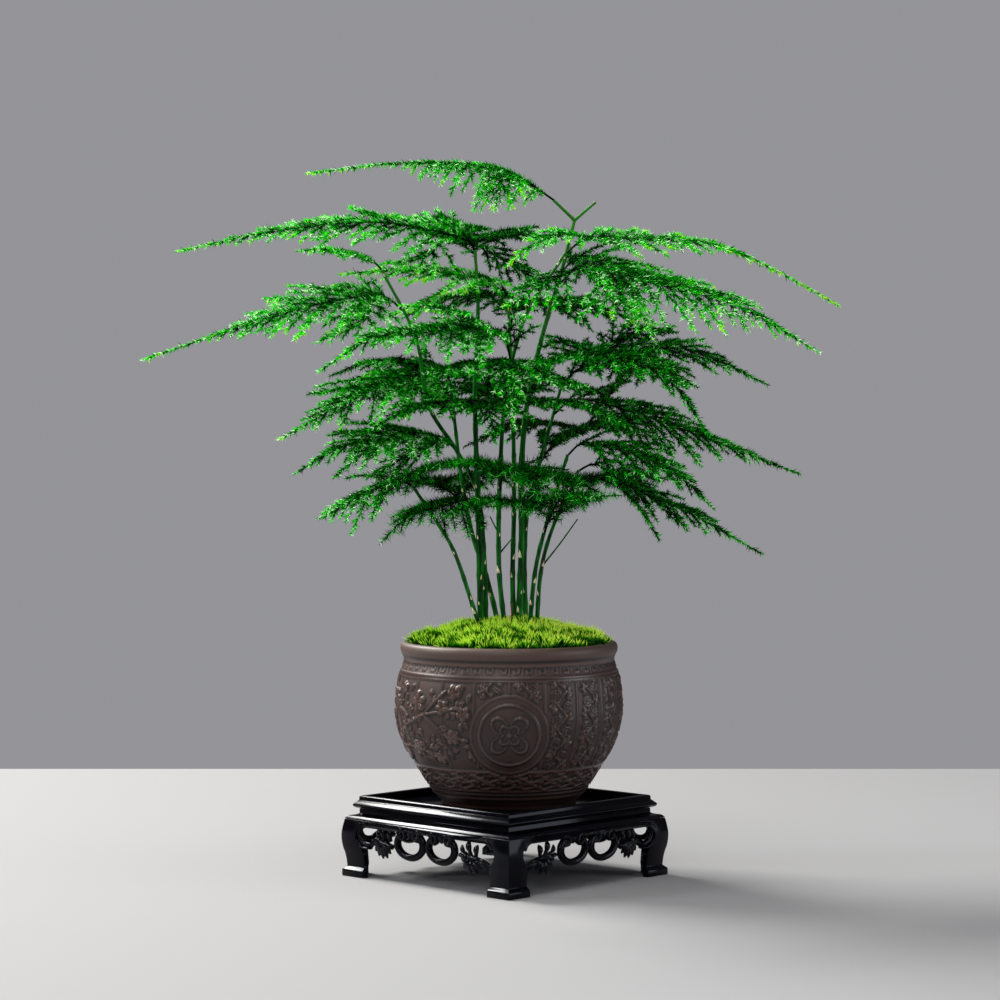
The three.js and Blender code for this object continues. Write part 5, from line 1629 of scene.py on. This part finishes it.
def stem_lines(name, path, radii, node_gap):
    """A stem's lines with the swellings of its nodes, and the size and facing of its scale leaves."""
    length = path_length(stem_path(path))
    count = max(12, int(length / 2.4))
    every = max(3, round(node_gap / MM / (length / count)))
    line = stem_path(path, count)
    leaves = stem_leaves(line, every, SCALE_LEAVES[name]) if name in SCALE_LEAVES else {}
    side_twigs, *side_radii = SIDE_TWIGS.get(name, ([], 0, 0))
    points, edges, thickness, leaf_size, facing = [], [], [], [], []
    for run, (start, end) in [(line, radii), *((smooth_path(twig, 8), side_radii) for twig in side_twigs)]:
        first = len(points)
        points.extend(run)
        edges.extend((first + i, first + i + 1) for i in range(len(run) - 1))
        for i in range(len(run)):
            swell = {0: 1.16, 1: 1.06, every - 1: 1.06}.get(i % every, 1.0)
            thickness.append((start + (end - start) * i / (len(run) - 1)) * swell)
            size, direction = leaves.get(first + i, (0, (0, -1, 0)))
            leaf_size.append(size)
            facing.append(direction)
    return points, edges, {"thickness": thickness, "leaf_size": leaf_size, "facing": facing}


class LACEFERN_OT_stems(bpy.types.Operator):
    """Makes the stems with their nodes and papery scale leaves"""
    bl_idname = "lacefern.stems"
    bl_label = "Stems"

    def execute(self, context):
        settings = context.scene.lacefern_stems
        tree = stem_tree()
        skin, papery, young_skin = stem_material(), scale_material(), shoot_material()
        pieces = [(f"green_{name}", name, stem, skin, "stems") for name, stem in STEMS.items()]
        pieces.append(("young_shoot", "shoot", SHOOT, young_skin, "young_shoot"))
        for title, name, (path, *radii), material, slot in pieces:
            item = line_object(title, *stem_lines(name, path, radii, settings.node_gap))
            run_tree(item, tree, {
                "Sides": settings.sides, "Scale Length": settings.scale_length,
                "Scale Width": settings.scale_width, "Stem Material": material, "Scale Material": papery,
            })
            shade_smooth(item.data)
            finish_piece(item, slot, name)
        return {"FINISHED"}


class LACEFERN_OT_fronds(bpy.types.Operator):
    """Makes every frond: rachis, side sprays, twigs and needles"""
    bl_idname = "lacefern.fronds"
    bl_label = "Fronds"

    def execute(self, context):
        settings = context.scene.lacefern_fronds
        tree = needle_tree()
        material = needle_material()
        gaps = (settings.spray_gap / MM, settings.twig_gap / MM)
        for seed, name in enumerate(FRONDS):
            twigs = frond_twigs(name, gaps, seed)
            item = line_object(name.replace("frond", "needle_frond"), twigs.points, twigs.edges, twigs.values)
            wispy = settings.wispy if name in WISPY else 0.0
            run_tree(item, tree, {
                "Needle Spacing": settings.needle_spacing, "Lean": settings.needle_lean * (1 + 0.4 * wispy),
                "Needle Length": settings.needle_length * (1 + 0.5 * wispy),
                "Needle Width": settings.needle_width * (1 - 0.35 * wispy),
                "Seed": seed, "Material": material,
            })
            finish_piece(item, "foliage", name)
        return {"FINISHED"}


class LACEFERN_PT_panel(bpy.types.Panel):
    bl_label = "Lace fern"
    bl_idname = "LACEFERN_PT_panel"
    bl_space_type = "VIEW_3D"
    bl_region_type = "UI"
    bl_category = "Lace fern"

    def draw(self, context):
        for part in STEPS:
            self.layout.operator(f"lacefern.{part}")


STEPS = ["stage", "stand", "pot", "moss", "stems", "fronds"]
SETTINGS = {
    "lacefern_stage": StageSettings, "lacefern_stand": StandSettings, "lacefern_pot": PotSettings,
    "lacefern_moss": MossSettings, "lacefern_stems": StemSettings, "lacefern_fronds": FernSettings,
}
CLASSES = [
    *SETTINGS.values(), LACEFERN_OT_stage, LACEFERN_OT_stand, LACEFERN_OT_pot, LACEFERN_OT_moss,
    LACEFERN_OT_stems, LACEFERN_OT_fronds, LACEFERN_PT_panel,
]


def register():
    for item in CLASSES:
        bpy.utils.register_class(item)
    for name, group in SETTINGS.items():
        setattr(bpy.types.Scene, name, bpy.props.PointerProperty(type=group))


def unregister():
    for name in SETTINGS:
        delattr(bpy.types.Scene, name)
    for item in reversed(CLASSES):
        bpy.utils.unregister_class(item)


def main():
    register()
    for part in STEPS:
        getattr(bpy.ops.lacefern, part)()


if __name__ == "__main__":
    main()
